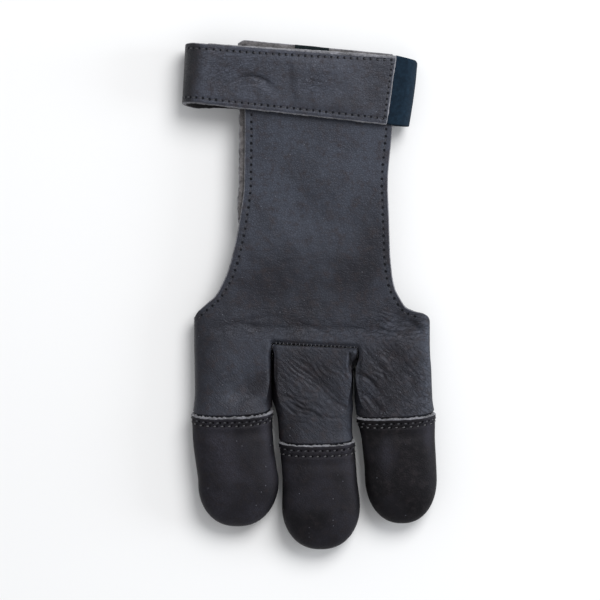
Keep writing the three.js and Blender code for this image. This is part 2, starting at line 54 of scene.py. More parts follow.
def smooth(low, high, value):
    # t * t * (3 - 2 t), where t runs from 0 at low to 1 at high
    t = np.clip((np.asarray(value, float) - low) / (high - low), 0, 1)
    return t * t * (3 - 2 * t)


def mix(a, b, share):
    # a + (b - a) * share
    return a + (b - a) * share


def bell(value, width):
    # exp(-(value / width)^2)
    return np.exp(-(value / width) ** 2)


def readTable(rows, column, share):
    # monotone cubic through the rows (first entry is the place, the rest are columns): at each row
    # the slope is the harmonic mean of its neighbours' slopes
    data = np.asarray(rows, float)
    x, y = data[:, 0], data[:, column]
    slope = np.diff(y) / np.diff(x)
    both = slope[:-1] * slope[1:]
    inner = np.where(both > 0, 2 * both / np.where(both > 0, slope[:-1] + slope[1:], 1), 0)
    tangent = np.concatenate([slope[:1], inner, slope[-1:]])
    share = np.clip(np.asarray(share, float), x[0], x[-1])
    i = np.clip(np.searchsorted(x, share, side="right") - 1, 0, len(x) - 2)
    step = x[i + 1] - x[i]
    t = (share - x[i]) / step
    return (y[i] * (1 + 2 * t) * (1 - t) ** 2 + y[i + 1] * t * t * (3 - 2 * t)
            + step * (tangent[i] * t * (1 - t) ** 2 - tangent[i + 1] * t * t * (1 - t)))


def softNoise(x, y, size, seed, waves=9, gain=1.8):
    # gain / waves * sum of sin(k * distance + phase) over plane waves in random directions, each
    # about size millimetres long
    dice = np.random.default_rng(seed)
    total = 0.0
    for turn, stretch, phase in zip(dice.uniform(0, np.pi, waves), dice.uniform(0.7, 1.6, waves),
                                    dice.uniform(0, 2 * np.pi, waves)):
        wave = 2 * np.pi / (size * stretch)
        total = total + np.sin(wave * (x * np.cos(turn) + y * np.sin(turn)) + phase)
    return total / waves * gain


def turned(x, y, cx, cy, degrees):
    # distances from (cx, cy) along and across a line turned by the angle: the turned x and y
    t = np.radians(degrees)
    dx, dy = x - cx, y - cy
    return dx * np.cos(t) + dy * np.sin(t), dy * np.cos(t) - dx * np.sin(t)


def lengthsAlong(path):
    # distance from the start to each point: running sum of the steps' lengths
    return np.concatenate([[0], np.cumsum(np.linalg.norm(np.diff(path, axis=0), axis=1))])


# Meshes


def gridQuads(rows, columns, wrap=False):
    # faces of a grid whose rows run down and columns run right, seen from outside: each joins
    # points (r, c), (r + 1, c), (r + 1, c + 1) and (r, c + 1)
    numbers = np.arange(rows * columns).reshape(rows, columns)
    if wrap:
        numbers = np.concatenate([numbers, numbers[:, :1]], axis=1)
    return np.stack([numbers[:-1, :-1], numbers[1:, :-1], numbers[1:, 1:], numbers[:-1, 1:]],
                    axis=-1).reshape(-1, 4)


def normalsOf(points, quads):
    # cross product of each face's diagonals, summed at its corners and made one long
    across = np.cross(points[quads[:, 2]] - points[quads[:, 0]], points[quads[:, 3]] - points[quads[:, 1]])
    normals = np.zeros_like(points)
    for corner in range(4):
        np.add.at(normals, quads[:, corner], across)
    return normals / np.maximum(np.linalg.norm(normals, axis=1, keepdims=True), 1e-12)


def openEdges(quads):
    # face edges (a, b) whose reverse (b, a) belongs to no other face
    edges = np.concatenate([quads[:, [k, (k + 1) % 4]] for k in range(4)])
    edges = edges[edges[:, 0] != edges[:, 1]]
    big = int(quads.max()) + 1
    forward = edges[:, 0] * big + edges[:, 1]
    backward = edges[:, 1] * big + edges[:, 0]
    return edges[~np.isin(forward, backward)]


def thicken(points, quads, wall, lip=None, bulge=0.3, steps=4):
    # the surface, its offset along the normals by the wall, and a half-round strip round each open
    # edge: middle + normal * cos(turn) * wall / 2 + outward * sin(turn) * bulge * wall
    normals = normalsOf(points, quads)
    wall = np.broadcast_to(np.asarray(wall, float), (len(points),))[:, None]
    inner = points - normals * wall + (0 if lip is None else lip)
    edges = openEdges(quads)
    direction = points[edges[:, 1]] - points[edges[:, 0]]
    outward = np.zeros_like(points)
    side = np.cross(direction, normals[edges[:, 0]])
    np.add.at(outward, edges[:, 0], side)
    np.add.at(outward, edges[:, 1], side)
    outward /= np.maximum(np.linalg.norm(outward, axis=1, keepdims=True), 1e-12)
    count = len(points)
    used = np.unique(edges)
    place = np.full(count, -1)
    place[used] = np.arange(len(used))
    layers = [used]
    extra = []
    total = 2 * count
    for step in range(1, steps):
        turn = np.pi * step / steps
        share = (1 - np.cos(turn)) / 2
        ring = mix(points[used], inner[used], share) + outward[used] * wall[used] * bulge * np.sin(turn)
        extra.append(ring)
        layers.append(total + np.arange(len(used)))
        total += len(used)
    layers.append(used + count)
    a, b = place[edges[:, 0]], place[edges[:, 1]]
    rim = [np.stack([low[b], low[a], high[a], high[b]], axis=-1) for low, high in zip(layers, layers[1:])]
    faces = np.concatenate([quads, quads[:, ::-1] + count, *rim])
    # kind 0 is the grain side, 1 the flesh side and 2 the cut edge
    kinds = np.concatenate([np.zeros(len(quads), int), np.ones(len(quads), int),
                            np.full(len(edges) * steps, 2)])
    everything = np.concatenate([points, inner, *extra])
    source = np.concatenate([np.arange(count), np.arange(count), *[used] * (steps - 1)])
    return everything, faces, kinds, source


def thickenGrid(grid, wall, lip=None, bulge=0.3):
    # thicken for a grid of points that doesn't close on itself
    lip = None if lip is None else lip.reshape(-1, 3)
    return thicken(grid.reshape(-1, 3), gridQuads(*grid.shape[:2]), wall, lip, bulge)


def weld(points, quads):
    # makes points that lie exactly on each other one point
    _, first, number = np.unique(np.round(points, 6), axis=0, return_index=True, return_inverse=True)
    return points[first], number.reshape(-1)[quads]


def joinParts(parts):
    # one list of points and one of faces, each part's faces counted on from the points before it
    points, faces, start = [], [], 0
    for vertices, quads in parts:
        points.append(vertices)
        faces.append(quads + start)
        start += len(vertices)
    return np.concatenate(points), np.concatenate(faces)


def makePiece(name, points, faces, kinds=None, materials=(), attributes=None, replaces=(),
              weave=None):
    # (points + glove origin) / 1000 into a mesh in metres; a face with a repeated corner is a triangle
    mesh = bpy.data.meshes.new(name)
    placed = (points + gloveOrigin) / perMetre
    faces = np.where(faces[:, :1] == faces[:, 1:2], np.roll(faces, -2, axis=1), faces)
    same = faces[:, 2] == faces[:, 3]
    lists = faces.tolist()
    mesh.from_pydata(placed.tolist(), [], [f[:3] if s else f for f, s in zip(lists, same.tolist())])
    for material in materials:
        mesh.materials.append(material)
    if kinds is not None:
        mesh.polygons.foreach_set("material_index", np.asarray(kinds, np.int32))
    mesh.polygons.foreach_set("use_smooth", np.ones(len(faces), bool))
    for key, values in (attributes or {}).items():
        mesh.attributes.new(key, "FLOAT", "POINT").data.foreach_set("value", np.asarray(values, np.float32))
    if weave is not None:
        layer = mesh.uv_layers.new(name="weave")
        corners = np.empty(len(mesh.loops), np.int32)
        mesh.loops.foreach_get("vertex_index", corners)
        layer.data.foreach_set("uv", np.asarray(weave, np.float32)[corners].reshape(-1))
    mesh.update()
    piece = bpy.data.objects.new(name, mesh)
    bpy.context.scene.collection.objects.link(piece)
    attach(piece, "root")
    if replaces:
        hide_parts(*replaces)


# Materials. Scales are in waves or cells per metre, heights in millimetres.


def nodeIn(tree, kind, settings=None, **inputs):
    # adds a node; an input is named, or numbered as in0, and takes a value or another node's socket
    made = tree.nodes.new(kind)
    for key, value in (settings or {}).items():
        setattr(made, key, value)
    for key, value in inputs.items():
        setSocket(tree, made.inputs[int(key[2:]) if key[2:].isdigit() else key], value)
    return made


def setSocket(tree, socket, value):
    # links another node's socket, or sets a plain value
    if isinstance(value, bpy.types.NodeSocket):
        tree.links.new(value, socket)
    else:
        socket.default_value = value


def mathIn(tree, operation, a, b=0.0, c=0.0):
    # the named operation of a, b and c
    return nodeIn(tree, "ShaderNodeMath", {"operation": operation}, in0=a, in1=b, in2=c).outputs[0]


def rangeIn(tree, value, fromLow, fromHigh, toLow=0.0, toHigh=1.0):
    # toLow + (toHigh - toLow) * t * t * (3 - 2 t), where t runs from 0 at fromLow to 1 at fromHigh
    made = nodeIn(tree, "ShaderNodeMapRange", {"interpolation_type": "SMOOTHSTEP"}, Value=value)
    for key, number in (("From Min", fromLow), ("From Max", fromHigh), ("To Min", toLow), ("To Max", toHigh)):
        made.inputs[key].default_value = number
    return made.outputs[0]


def mixColour(tree, share, a, b):
    # a + (b - a) * share, in colour
    made = nodeIn(tree, "ShaderNodeMix", {"data_type": "RGBA"})
    for number, value in ((0, share), (6, a), (7, b)):
        setSocket(tree, made.inputs[number], value)
    return made.outputs[2]


def noiseIn(tree, place, scale, detail, roughness=0.5):
    # fractal noise from 0 to 1 about 0.5
    return nodeIn(tree, "ShaderNodeTexNoise", Vector=place, Scale=scale, Detail=detail,
                  Roughness=roughness).outputs[0]


def bumpIn(tree, shader, height, strength, distance):
    # tilts the shading by the height, in units of the distance in metres
    bump = nodeIn(tree, "ShaderNodeBump", Height=height, Strength=strength, Distance=distance)
    tree.links.new(bump.outputs[0], shader.inputs["Normal"])


def attributeIn(tree, name):
    # the piece's own attribute of that name
    return nodeIn(tree, "ShaderNodeAttribute", {"attribute_name": name}).outputs["Fac"]


def linear(red, green, blue):
    # screen values 0 to 255 to the shader's linear colour: ((c + 0.055) / 1.055)^2.4 above 0.04045
    c = np.array([red, green, blue]) / 255
    c = np.where(c <= 0.04045, c / 12.92, ((c + 0.055) / 1.055) ** 2.4)
    return (*c.tolist(), 1.0)


def startMaterial(name, roughness, specular, sheen=0.0):
    # a shader with constant gloss and sheen, and the object's own coordinates for its patterns
    material = bpy.data.materials.new(name)
    material.use_nodes = True
    tree = material.node_tree
    shader = tree.nodes["Principled BSDF"]
    shader.inputs["Roughness"].default_value = roughness
    shader.inputs["Specular IOR Level"].default_value = specular
    shader.inputs["Sheen Weight"].default_value = sheen
    shader.inputs["Sheen Roughness"].default_value = 0.5
    return material, tree, shader, nodeIn(tree, "ShaderNodeTexCoord").outputs["Object"]


hideLook = {
    # colours: dark and a bluish light whose mix carries painted sheen, a warm blotch colour, painted shade
    # for the hollows and for the needle holes, and the painted glint of the grain's pale specks
    "dark": linear(20, 17, 21), "light": linear(57, 61, 71), "warm": linear(42, 34, 34),
    "paintedShade": linear(8, 7, 8), "holeShade": (0.0008, 0.0008, 0.001, 1.0), "glint": linear(112, 114, 122),
    # weights: of the broad random tone and of the painted light in the dark-to-light mix, where painted shade
    # starts and is full, of the warm blotches, of painted shade in creases, between pebbles and in the
    # groove, of the painted glints and of the holes' painted shade
    "broadTone": 0.45, "toneAndPaintedLightTone": 0.7, "paintedShadeFrom": -0.2, "paintedShadeTo": -1.2, "blotch": 0.7, "creaseTone": 0.45,
    "pebbleTone": 0.35, "grooveTone": 0.14, "glintTone": 0.5, "holeShadeTone": 0.97,
    # gloss
    "gloss": (0.83, 0.87, 1.0, 1.0), "roughness": (0.54, 0.40), "specular": 0.37, "sheen": 0.0,
    "blotchRough": 0.12, "holeRough": 0.4,
    # sizes of the patterns: the grain's cells in millimetres, the others as scales, turns in radians
    "grain": 1.0, "cellEdge": 0.30, "broadScale": 60.0, "blotchScale": 300.0, "fineScale": 2600.0,
    "bendScale": 500.0, "bend": 0.0014, "creaseScale": 430.0, "creaseTurn": 0.05, "slantTurn": -0.8,
    "glintScale": 520.0, "speck": (0.13, 0.07), "glintFree": 0.88,
    # seam: distance between needle holes, their radius and raggedness, the groove's edges
    "pitch": 2.85, "hole": 0.46, "holeRagged": 0.9, "seamWander": 0.1, "groove": (1.0, 0.15),
    # heights
    "relief": 0.034, "creases": 0.16, "fine": 0.03, "mottle": 0.11, "holeDepth": 0.30, "grooveDepth": 0.06}
strapLook = {**hideLook, "dark": linear(34, 33, 36), "light": linear(62, 65, 75), "creases": 0.18,
             "creaseScale": 600.0, "specular": 0.42}
capLook = {**hideLook, "dark": linear(9, 8, 8), "light": linear(45, 44, 51), "warm": linear(34, 30, 31),
           "paintedShade": linear(5, 5, 6), "gloss": (0.90, 0.88, 1.0, 1.0), "roughness": (0.60, 0.48),
           "specular": 0.17, "grain": 0.8, "creases": 0.09, "fine": 0.06, "mottle": 0.13, "pitch": 2.9,
           "hole": 0.38}


def ridgesIn(tree, place, turn, scale):
    # lines where noise, stretched along the given direction, crosses its middle value:
    # 1 - smooth step of |noise - 0.5| up to 0.08
    stretched = nodeIn(tree, "ShaderNodeMapping", {"vector_type": "TEXTURE"}, Vector=place)
    stretched.inputs["Rotation"].default_value = (0.0, 0.0, turn)
    stretched.inputs["Scale"].default_value = (1.9, 0.62, 1.0)
    noise = nodeIn(tree, "ShaderNodeTexNoise", Vector=stretched.outputs[0], Scale=scale, Detail=4.0,
                   Distortion=0.5).outputs[0]
    return rangeIn(tree, mathIn(tree, "ABSOLUTE", mathIn(tree, "SUBTRACT", noise, 0.5)), 0.0, 0.08, 1.0, 0.0)


def seamIn(tree, look, broad, blotch):
    # needle holes: gap = sqrt(along^2 + off^2) from the nearest place half way between two whole
    # phases of the seam, made ragged by noise; groove: 1 on the seam, 0 past its outer edge
    phase, off = attributeIn(tree, "seamPhase"), attributeIn(tree, "seamOff")
    shifted = mathIn(tree, "MULTIPLY_ADD", broad, look["seamWander"], phase)
    along = mathIn(tree, "MULTIPLY", mathIn(tree, "SUBTRACT", mathIn(tree, "FRACT", shifted), 0.5),
                   look["pitch"])
    gap = mathIn(tree, "SQRT", mathIn(tree, "ADD", mathIn(tree, "MULTIPLY", along, along),
                                      mathIn(tree, "MULTIPLY", off, off)))
    ragged = mathIn(tree, "MULTIPLY_ADD", mathIn(tree, "SUBTRACT", blotch, 0.5), look["holeRagged"], gap)
    hole = rangeIn(tree, ragged, look["hole"] * 1.4, look["hole"] * 0.7)
    return hole, rangeIn(tree, mathIn(tree, "ABSOLUTE", off), *look["groove"])


def glintIn(tree, place, look):
    # sparse pale specks, painted glints on the grain: the middles of those cells whose random colour is over
    # the share left without a speck
    cells = nodeIn(tree, "ShaderNodeTexVoronoi", {"feature": "F1"}, Vector=place, Scale=look["glintScale"])
    dice = nodeIn(tree, "ShaderNodeSeparateColor", in0=cells.outputs["Color"]).outputs[0]
    chosen = mathIn(tree, "GREATER_THAN", dice, look["glintFree"])
    speck = mathIn(tree, "MULTIPLY", rangeIn(tree, cells.outputs["Distance"], *look["speck"]), chosen)
    return mathIn(tree, "MULTIPLY", speck, look["glintTone"])


def grainLeather(name, look):
    # colour: dark to light by broad noise (random tone) and the attribute of painted sheen and shade, to
    # painted shade where that is negative and in every hollow, with painted glints and painted shade in the
    # needle holes; height: relief * pebble - creases + noises - needle holes - groove
    material, tree, shader, place = startMaterial(name, look["roughness"][0], look["specular"], look["sheen"])
    shader.inputs["Specular Tint"].default_value = look["gloss"]
    broad = noiseIn(tree, place, look["broadScale"], 3.0, 0.55)
    blotch = noiseIn(tree, place, look["blotchScale"], 5.0, 0.7)
    fine = noiseIn(tree, place, look["fineScale"], 3.0)
    bent = nodeIn(tree, "ShaderNodeTexNoise", Vector=place, Scale=look["bendScale"], Detail=2.0).outputs[1]
    wobble = nodeIn(tree, "ShaderNodeVectorMath", {"operation": "MULTIPLY_ADD"},
                    in0=bent, in1=(look["bend"],) * 3, in2=place).outputs[0]
    cells = nodeIn(tree, "ShaderNodeTexVoronoi", {"feature": "DISTANCE_TO_EDGE"},
                   Vector=wobble, Scale=perMetre / look["grain"]).outputs["Distance"]
    pebble = rangeIn(tree, cells, 0.0, look["cellEdge"])
    # creases run level or slanting, as the slanting attribute says, where the piece is wrinkled
    toneAndPaintedLight, wrinkled, slanting = (attributeIn(tree, key) for key in ("toneAndPaintedLight", "wrinkled", "slanting"))
    level = ridgesIn(tree, wobble, look["creaseTurn"], look["creaseScale"])
    slanted = ridgesIn(tree, wobble, look["slantTurn"], look["creaseScale"])
    crease = mathIn(tree, "MULTIPLY_ADD", mathIn(tree, "SUBTRACT", slanted, level), slanting, level)
    crease = mathIn(tree, "MULTIPLY", crease, wrinkled)
    hole, groove = seamIn(tree, look, broad, blotch)
    # dark-to-light mix: random tone from broad noise plus the painted sheen and shade of the attribute
    share = mathIn(tree, "MULTIPLY_ADD", rangeIn(tree, broad, 0.36, 0.64), look["broadTone"],
                   mathIn(tree, "MULTIPLY", toneAndPaintedLight, look["toneAndPaintedLightTone"]))
    tone = mixColour(tree, share, look["dark"], look["light"])
    # painted shade where the painted light runs negative, as round the strap's fold and in the pucker's flap
    tone = mixColour(tree, rangeIn(tree, toneAndPaintedLight, look["paintedShadeFrom"], look["paintedShadeTo"]), tone, look["paintedShade"])
    warmth = mathIn(tree, "MULTIPLY", rangeIn(tree, blotch, 0.45, 0.70), look["blotch"])
    tone = mixColour(tree, warmth, tone, look["warm"])
    between = mathIn(tree, "SUBTRACT", 1.0, pebble)
    # painted shade in the creases, between the grain's pebbles and in the sewn groove
    for mask, weight in ((crease, "creaseTone"), (between, "pebbleTone"), (groove, "grooveTone")):
        tone = mixColour(tree, mathIn(tree, "MULTIPLY", mask, look[weight]), tone, look["paintedShade"])
    # pale specks: painted glints on the grain
    tone = mixColour(tree, glintIn(tree, place, look), tone, look["glint"])
    # painted shade in the needle holes
    tone = mixColour(tree, mathIn(tree, "MULTIPLY", hole, look["holeShadeTone"]), tone, look["holeShade"])
    tree.links.new(tone, shader.inputs["Base Color"])
    rough = rangeIn(tree, broad, 0.35, 0.65, look["roughness"][1], look["roughness"][0])
    rough = mathIn(tree, "ADD", rough, mathIn(tree, "MULTIPLY", blotch, look["blotchRough"]))
    rough = mathIn(tree, "MULTIPLY_ADD", hole, look["holeRough"], rough)
    tree.links.new(rough, shader.inputs["Roughness"])
    height = mathIn(tree, "MULTIPLY", pebble, look["relief"])
    for part, depth in ((crease, -look["creases"]), (fine, look["fine"]), (blotch, look["mottle"]),
                        (hole, -look["holeDepth"]), (groove, -look["grooveDepth"])):
        height = mathIn(tree, "MULTIPLY_ADD", part, depth, height)
    bumpIn(tree, shader, height, 1.0, 1 / perMetre)
    return material


def fleshLeather(name, dark, light, fuzz=1.0):
    # short suede nap: colour from 0.6 * patch + 0.7 * nap, height = nap + 0.6 * fibre
    material, tree, shader, place = startMaterial(name, 0.92, 0.15, 0.35)
    nap = noiseIn(tree, place, 900.0, 6.0, 0.7)
    patch = noiseIn(tree, place, 160.0, 4.0)
    fibre = noiseIn(tree, place, 2600.0, 4.0, 0.8)
    share = mathIn(tree, "MULTIPLY_ADD", patch, 0.6, mathIn(tree, "MULTIPLY", nap, 0.7))
    tone = mixColour(tree, rangeIn(tree, share, 0.4, 0.95), dark, light)
    tone = mixColour(tree, rangeIn(tree, fibre, 0.56, 0.75, 0.0, 0.45), tone, light)
    tree.links.new(tone, shader.inputs["Base Color"])
    bumpIn(tree, shader, mathIn(tree, "MULTIPLY_ADD", fibre, 0.6, nap), 0.8, 0.00035 * fuzz)
    return material


def threadMaterial(name, dark, light):
    # twisted thread: sine bands along the object's diagonal, in colour and height
    material, tree, shader, place = startMaterial(name, 0.6, 0.3, 0.2)
    twist = nodeIn(tree, "ShaderNodeTexWave", {"wave_type": "BANDS", "bands_direction": "DIAGONAL"},
                   Vector=place, Scale=1600.0, Distortion=1.0).outputs["Fac"]
    tree.links.new(mixColour(tree, twist, dark, light), shader.inputs["Base Color"])
    bumpIn(tree, shader, twist, 0.6, 0.00008)
    return material


def wovenMaterial(name, dark, light, cord, pick):
    # height = sin(2 pi across / cord) + 0.5 sin(2 pi along / pick), the picks half a turn on in every
    # other cord, from the weave map in millimetres
    material, tree, shader, place = startMaterial(name, 0.85, 0.12)
    weave = nodeIn(tree, "ShaderNodeUVMap", {"uv_map": "weave"}).outputs[0]
    along, across = nodeIn(tree, "ShaderNodeSeparateXYZ", Vector=weave).outputs[:2]
    rib = mathIn(tree, "SINE", mathIn(tree, "MULTIPLY", across, 2 * np.pi / cord))
    half = mathIn(tree, "MULTIPLY", mathIn(tree, "FLOOR", mathIn(tree, "DIVIDE", across, cord)), np.pi)
    cross = mathIn(tree, "SINE", mathIn(tree, "MULTIPLY_ADD", along, 2 * np.pi / pick, half))
    height = mathIn(tree, "MULTIPLY_ADD", cross, 0.5, rib)
    noise = noiseIn(tree, place, 700.0, 5.0, 0.7)
    share = mathIn(tree, "MULTIPLY_ADD", noise, 0.9, mathIn(tree, "MULTIPLY", height, 0.08))
    tone = mixColour(tree, rangeIn(tree, share, 0.25, 0.75), dark, light)
    tree.links.new(tone, shader.inputs["Base Color"])
    bumpIn(tree, shader, height, 0.6, 0.00008)
    return material


hideMaterial = grainLeather("hideLeather", hideLook)
strapMaterial = grainLeather("strapLeather", strapLook)
capMaterial = grainLeather("capLeather", capLook)
fleshMaterial = fleshLeather("fleshSide", linear(22, 21, 23), linear(54, 52, 54))
suedeMaterial = fleshLeather("liningSuede", linear(52, 50, 51), linear(128, 125, 126))
rawMaterial = fleshLeather("rawEdge", linear(42, 42, 46), linear(142, 142, 150), 2.0)
darkThread = threadMaterial("darkThread", linear(20, 20, 22), linear(74, 74, 80))
# pale copy of the caps' thread, a painted highlight for the row that catches the light
litThread = threadMaterial("litThread", linear(30, 29, 31), linear(98, 97, 100))
elasticMaterial = wovenMaterial("elasticWeave", linear(14, 27, 39), linear(27, 45, 60), 0.45, 0.4)
tabMaterial = wovenMaterial("tabWeave", linear(8, 15, 17), linear(22, 34, 37), 0.4, 0.4)
patchMaterial = fleshLeather("hookAndLoop", linear(12, 12, 14), linear(34, 34, 38), 1.4)
print("materials made")


# The finger stalls. Rows: place along the finger, shift, girth, height, as shares of the half
# width and of the stall's height.

stallHeight = 14.2
stallBase = -0.04 * stallHeight  # the section's lowest place, which the table flattens
mouthHeight = 0.9 * stallHeight
sectionPower = 2.7
palmOpening = 9.0
seamSlant = 1.8
capOverlap = 8.5
capFlare = 0.5

ringStall = {
    "axis": -32.8, "half": 15.6, "length": 72.6, "cap": 46.4, "outer": -1, "shoulder": 10.8,
    "rimTilt": 0.02, "rimDip": 0.083, "roundFrom": 0.755, "stitches": (2.2, 3.6), "rawEdge": 0.8, "tone": 0.6,
    "rows": [(0, 0, 1, 0.90), (0.26, 0.02, 1, 0.92), (0.34, 0, 1.01, 0.97), (0.40, -0.02, 1.03, 1),
             (0.52, 0, 1.03, 1), (0.66, 0.08, 1.03, 1), (0.755, 0.14, 1.035, 1), (1, 0.11, 1.035, 1)],
}
middleStall = {
    "axis": 0.0, "half": 16.6, "length": 81.8, "cap": 43.7, "outer": 0, "shoulder": 0,
    "rimTilt": 0.005, "rimDip": 0.057, "roundFrom": 0.79, "stitches": (2.3, 4.5), "rawEdge": 0.55,
    "tone": 0.12,
    "rows": [(0, 0, 1.02, 0.90), (0.07, -0.009, 1.02, 0.91), (0.13, -0.05, 0.98, 0.915),
             (0.26, -0.055, 0.97, 0.94), (0.31, -0.02, 0.94, 0.96), (0.36, 0, 0.90, 0.97),
             (0.42, 0.01, 0.89, 0.98), (0.49, 0.05, 0.90, 1), (0.64, 0.11, 0.90, 1.01),
             (0.79, 0.145, 0.94, 1), (1, 0.14, 0.94, 1)],
}
indexStall = {
    "axis": 31.6, "half": 14.4, "length": 71.4, "cap": 43.8, "outer": 1, "shoulder": 9.6,
    "rimTilt": 0.03, "rimDip": 0.059, "roundFrom": 0.745, "stitches": (2.2, 3.6), "rawEdge": 0.7,
    "tone": -0.45,
    "rows": [(0, 0, 1, 0.90), (0.06, 0, 1.01, 0.905), (0.14, -0.03, 1.07, 0.915), (0.30, -0.015, 1.085, 0.95),
             (0.37, 0.03, 1.09, 0.98), (0.42, 0.06, 1.08, 1), (0.53, 0.12, 1.02, 1), (0.735, 0.19, 1, 1),
             (1, 0.22, 1, 1)],
}

# The back of the hand: its two sides at the shoulder, the panel's middle and width, and its folds
hand = {"ringSide": -48.4, "indexSide": 46.0, "middle": 0.9, "width": 57.3, "wristHeight": 12.2,
        "arch": 0.8, "foldStart": 79.7, "foldFade": 25.4, "foldMiddle": 6.1}
# How the sides run from the shoulder to the wrist's top edge. Rows: share of the way, then how
# much of the shoulder's reach is left on the ring side and on the index side
sideRows = [(0, 1, 1), (0.012, 0.96, 0.97), (0.024, 0.91, 0.86), (0.034, 0.85, 0.58), (0.050, 0.75, 0.38),
            (0.080, 0.57, 0.25), (0.115, 0.46, 0.13), (0.17, 0.33, 0.05), (0.26, 0.20, 0),
            (0.36, 0.10, -0.02), (0.50, 0.01, -0.05), (0.72, 0, 0.06), (1, 0.02, 0.08)]
# Where the strap crosses the wrist. The lining's top edge runs beside it, a rise above it.
wrist = {"x": -6.3, "y": 105.1, "tilt": np.radians(5.4), "width": 25.4, "liningRise": 1.9}

# Broad folds: x, y, half length, half width, depth, turn in degrees
folds = [(0.0, 15.3, 74.0, 14.9, 1.7, 0), (0.9, 6.2, 38.0, 3.0, 0.7, -1), (35.0, 10.0, 5.7, 4.3, 1.1, -30),
         (-21.0, -14.0, 12.5, 6.3, 0.6, 12), (5.0, 49.6, 17.0, 9.0, 0.55, -15),
         (2.8, -17.0, 13.0, 3.2, 0.85, -44), (40.3, 6.4, 3.6, 2.8, 1.0, -30),
         (31.0, -4.6, 8.0, 3.0, 0.55, -38), (-28.0, -17.5, 7.0, 3.4, 0.5, 24),
         (21.0, -22.0, 9.0, 3.4, 0.4, -40), (39.0, -17.0, 10.0, 3.0, 0.35, -66)]
# Single creases: x, y, half length, half width, depth, turn
creases = [(21.5, -14.2, 8.0, 0.9, 0.9, -36), (22.0, -21.4, 7.5, 0.9, 0.5, -34),
           (38.5, 8.6, 5.0, 1.1, 0.5, -25),
           (-4.5, -25.3, 8.0, 0.65, 0.55, -21), (-8.5, -23.2, 6.0, 0.8, 0.4, -38),
           (5.5, -28.6, 6.0, 0.8, 0.25, -8), (-6.5, -22.6, 4.5, 0.5, 0.45, -30),
           (-3.2, -27.6, 4.5, 0.5, 0.35, -16), (1.2, -24.6, 4.0, 0.45, 0.3, -28),
           (-9.5, -26.2, 3.5, 0.5, 0.3, -32), (9.5, -23.5, 5.5, 0.8, 0.35, -30),
           (-27.5, -21.0, 6.0, 1.4, 0.3, 20), (-30.0, 7.8, 9.0, 1.0, 0.3, 6), (-6.0, 7.6, 15.0, 0.9, 0.3, -3),
           (14.0, 6.8, 12.0, 0.9, 0.3, -2), (29.0, 5.8, 9.0, 0.8, 0.35, -12), (27.0, 9.0, 8.0, 0.8, 0.35, 8),
           (24.6, -6.5, 8.0, 0.8, 0.35, -58), (-20.0, 11.5, 14.0, 1.1, 0.2, 3)]
# Bands of fine wrinkles: x, y, half length, half width, spacing, depth, turn
wrinkles = [(30.0, 8.0, 10.0, 5.0, 2.0, 0.18, 6), (30.0, -10.0, 9.0, 9.0, 2.2, 0.17, -50),
            (38.0, -14.0, 7.0, 9.0, 2.4, 0.12, -62), (22.0, -20.0, 6.0, 7.0, 2.2, 0.16, -38),
            (-3.0, -26.0, 11.0, 6.0, 2.2, 0.20, -22), (-5.0, -12.0, 9.0, 9.0, 2.0, 0.13, -38),
            (6.0, -14.0, 8.0, 9.0, 2.4, 0.10, -46), (0.0, 7.0, 28.0, 4.0, 2.2, 0.08, 0),
            (-34.0, -12.0, 9.0, 8.0, 3.2, 0.08, 35), (10.0, 78.0, 16.0, 8.0, 3.0, 0.07, -10),
            (-10.0, 40.0, 18.0, 12.0, 3.4, 0.06, 12)]
# How far noise bends the creases and wrinkles, and the low swells of the whole hide
sway = {"size": 9.0, "crease": 0.8, "bend": 0.02, "wrinkle": 1.3, "phaseSize": 14.0, "phase": 2,
        "ripple": 0.06, "rippleSize": 6.0, "swell": 0.16, "swellSize": 24.0}


def foldDepth(x, y):
    # folds: exp(-u^4 - v^2); creases: the same, bent by noise; wrinkles: a cosine across the band
    total = 0.0
    for cx, cy, length, width, depth, turn in folds:
        u, v = turned(x, y, cx, cy, turn)
        total = total + depth * np.exp(-(u / length) ** 4 - (v / width) ** 2)
    bent = softNoise(x, y, sway["size"], 5)
    for cx, cy, length, width, depth, turn in creases:
        u, v = turned(x, y, cx, cy, turn)
        aside = v + sway["crease"] * bent + sway["bend"] * u * u
        total = total + depth * np.exp(-(u / length) ** 4 - (aside / width) ** 2)
    late = softNoise(x, y, sway["phaseSize"], 8) * sway["phase"]
    for cx, cy, length, width, spacing, depth, turn in wrinkles:
        u, v = turned(x, y, cx, cy, turn)
        wave = np.cos(2 * np.pi * (v + sway["wrinkle"] * bent) / spacing + late)
        total = total + depth * np.exp(-(u / length) ** 2 - (v / width) ** 2) * wave
    return (total + sway["ripple"] * softNoise(x, y, sway["rippleSize"], 3)
            + sway["swell"] * softNoise(x, y, sway["swellSize"], 4))


def pressFolds(x, y, z):
    # z - fold depth * (share of the way up from the fingers' middle), fading out under the strap
    share = np.clip((z - hand["foldMiddle"]) / (mouthHeight - hand["foldMiddle"]), 0, 1)
    fading = smooth(hand["foldStart"] - hand["foldFade"], hand["foldStart"], y)
    return z - foldDepth(x, y) * share * (1 - fading)


# Sections of the stalls


def outlineOf(stall, y):
    # middle, half width, top and base of the section at y: the table's shares of the stall's sizes
    along = np.clip(-y / stall["length"], 0, 1)
    top = stallHeight * readTable(stall["rows"], 3, along)
    return (stall["axis"] + stall["half"] * readTable(stall["rows"], 1, along),
            stall["half"] * readTable(stall["rows"], 2, along), top, stallBase)


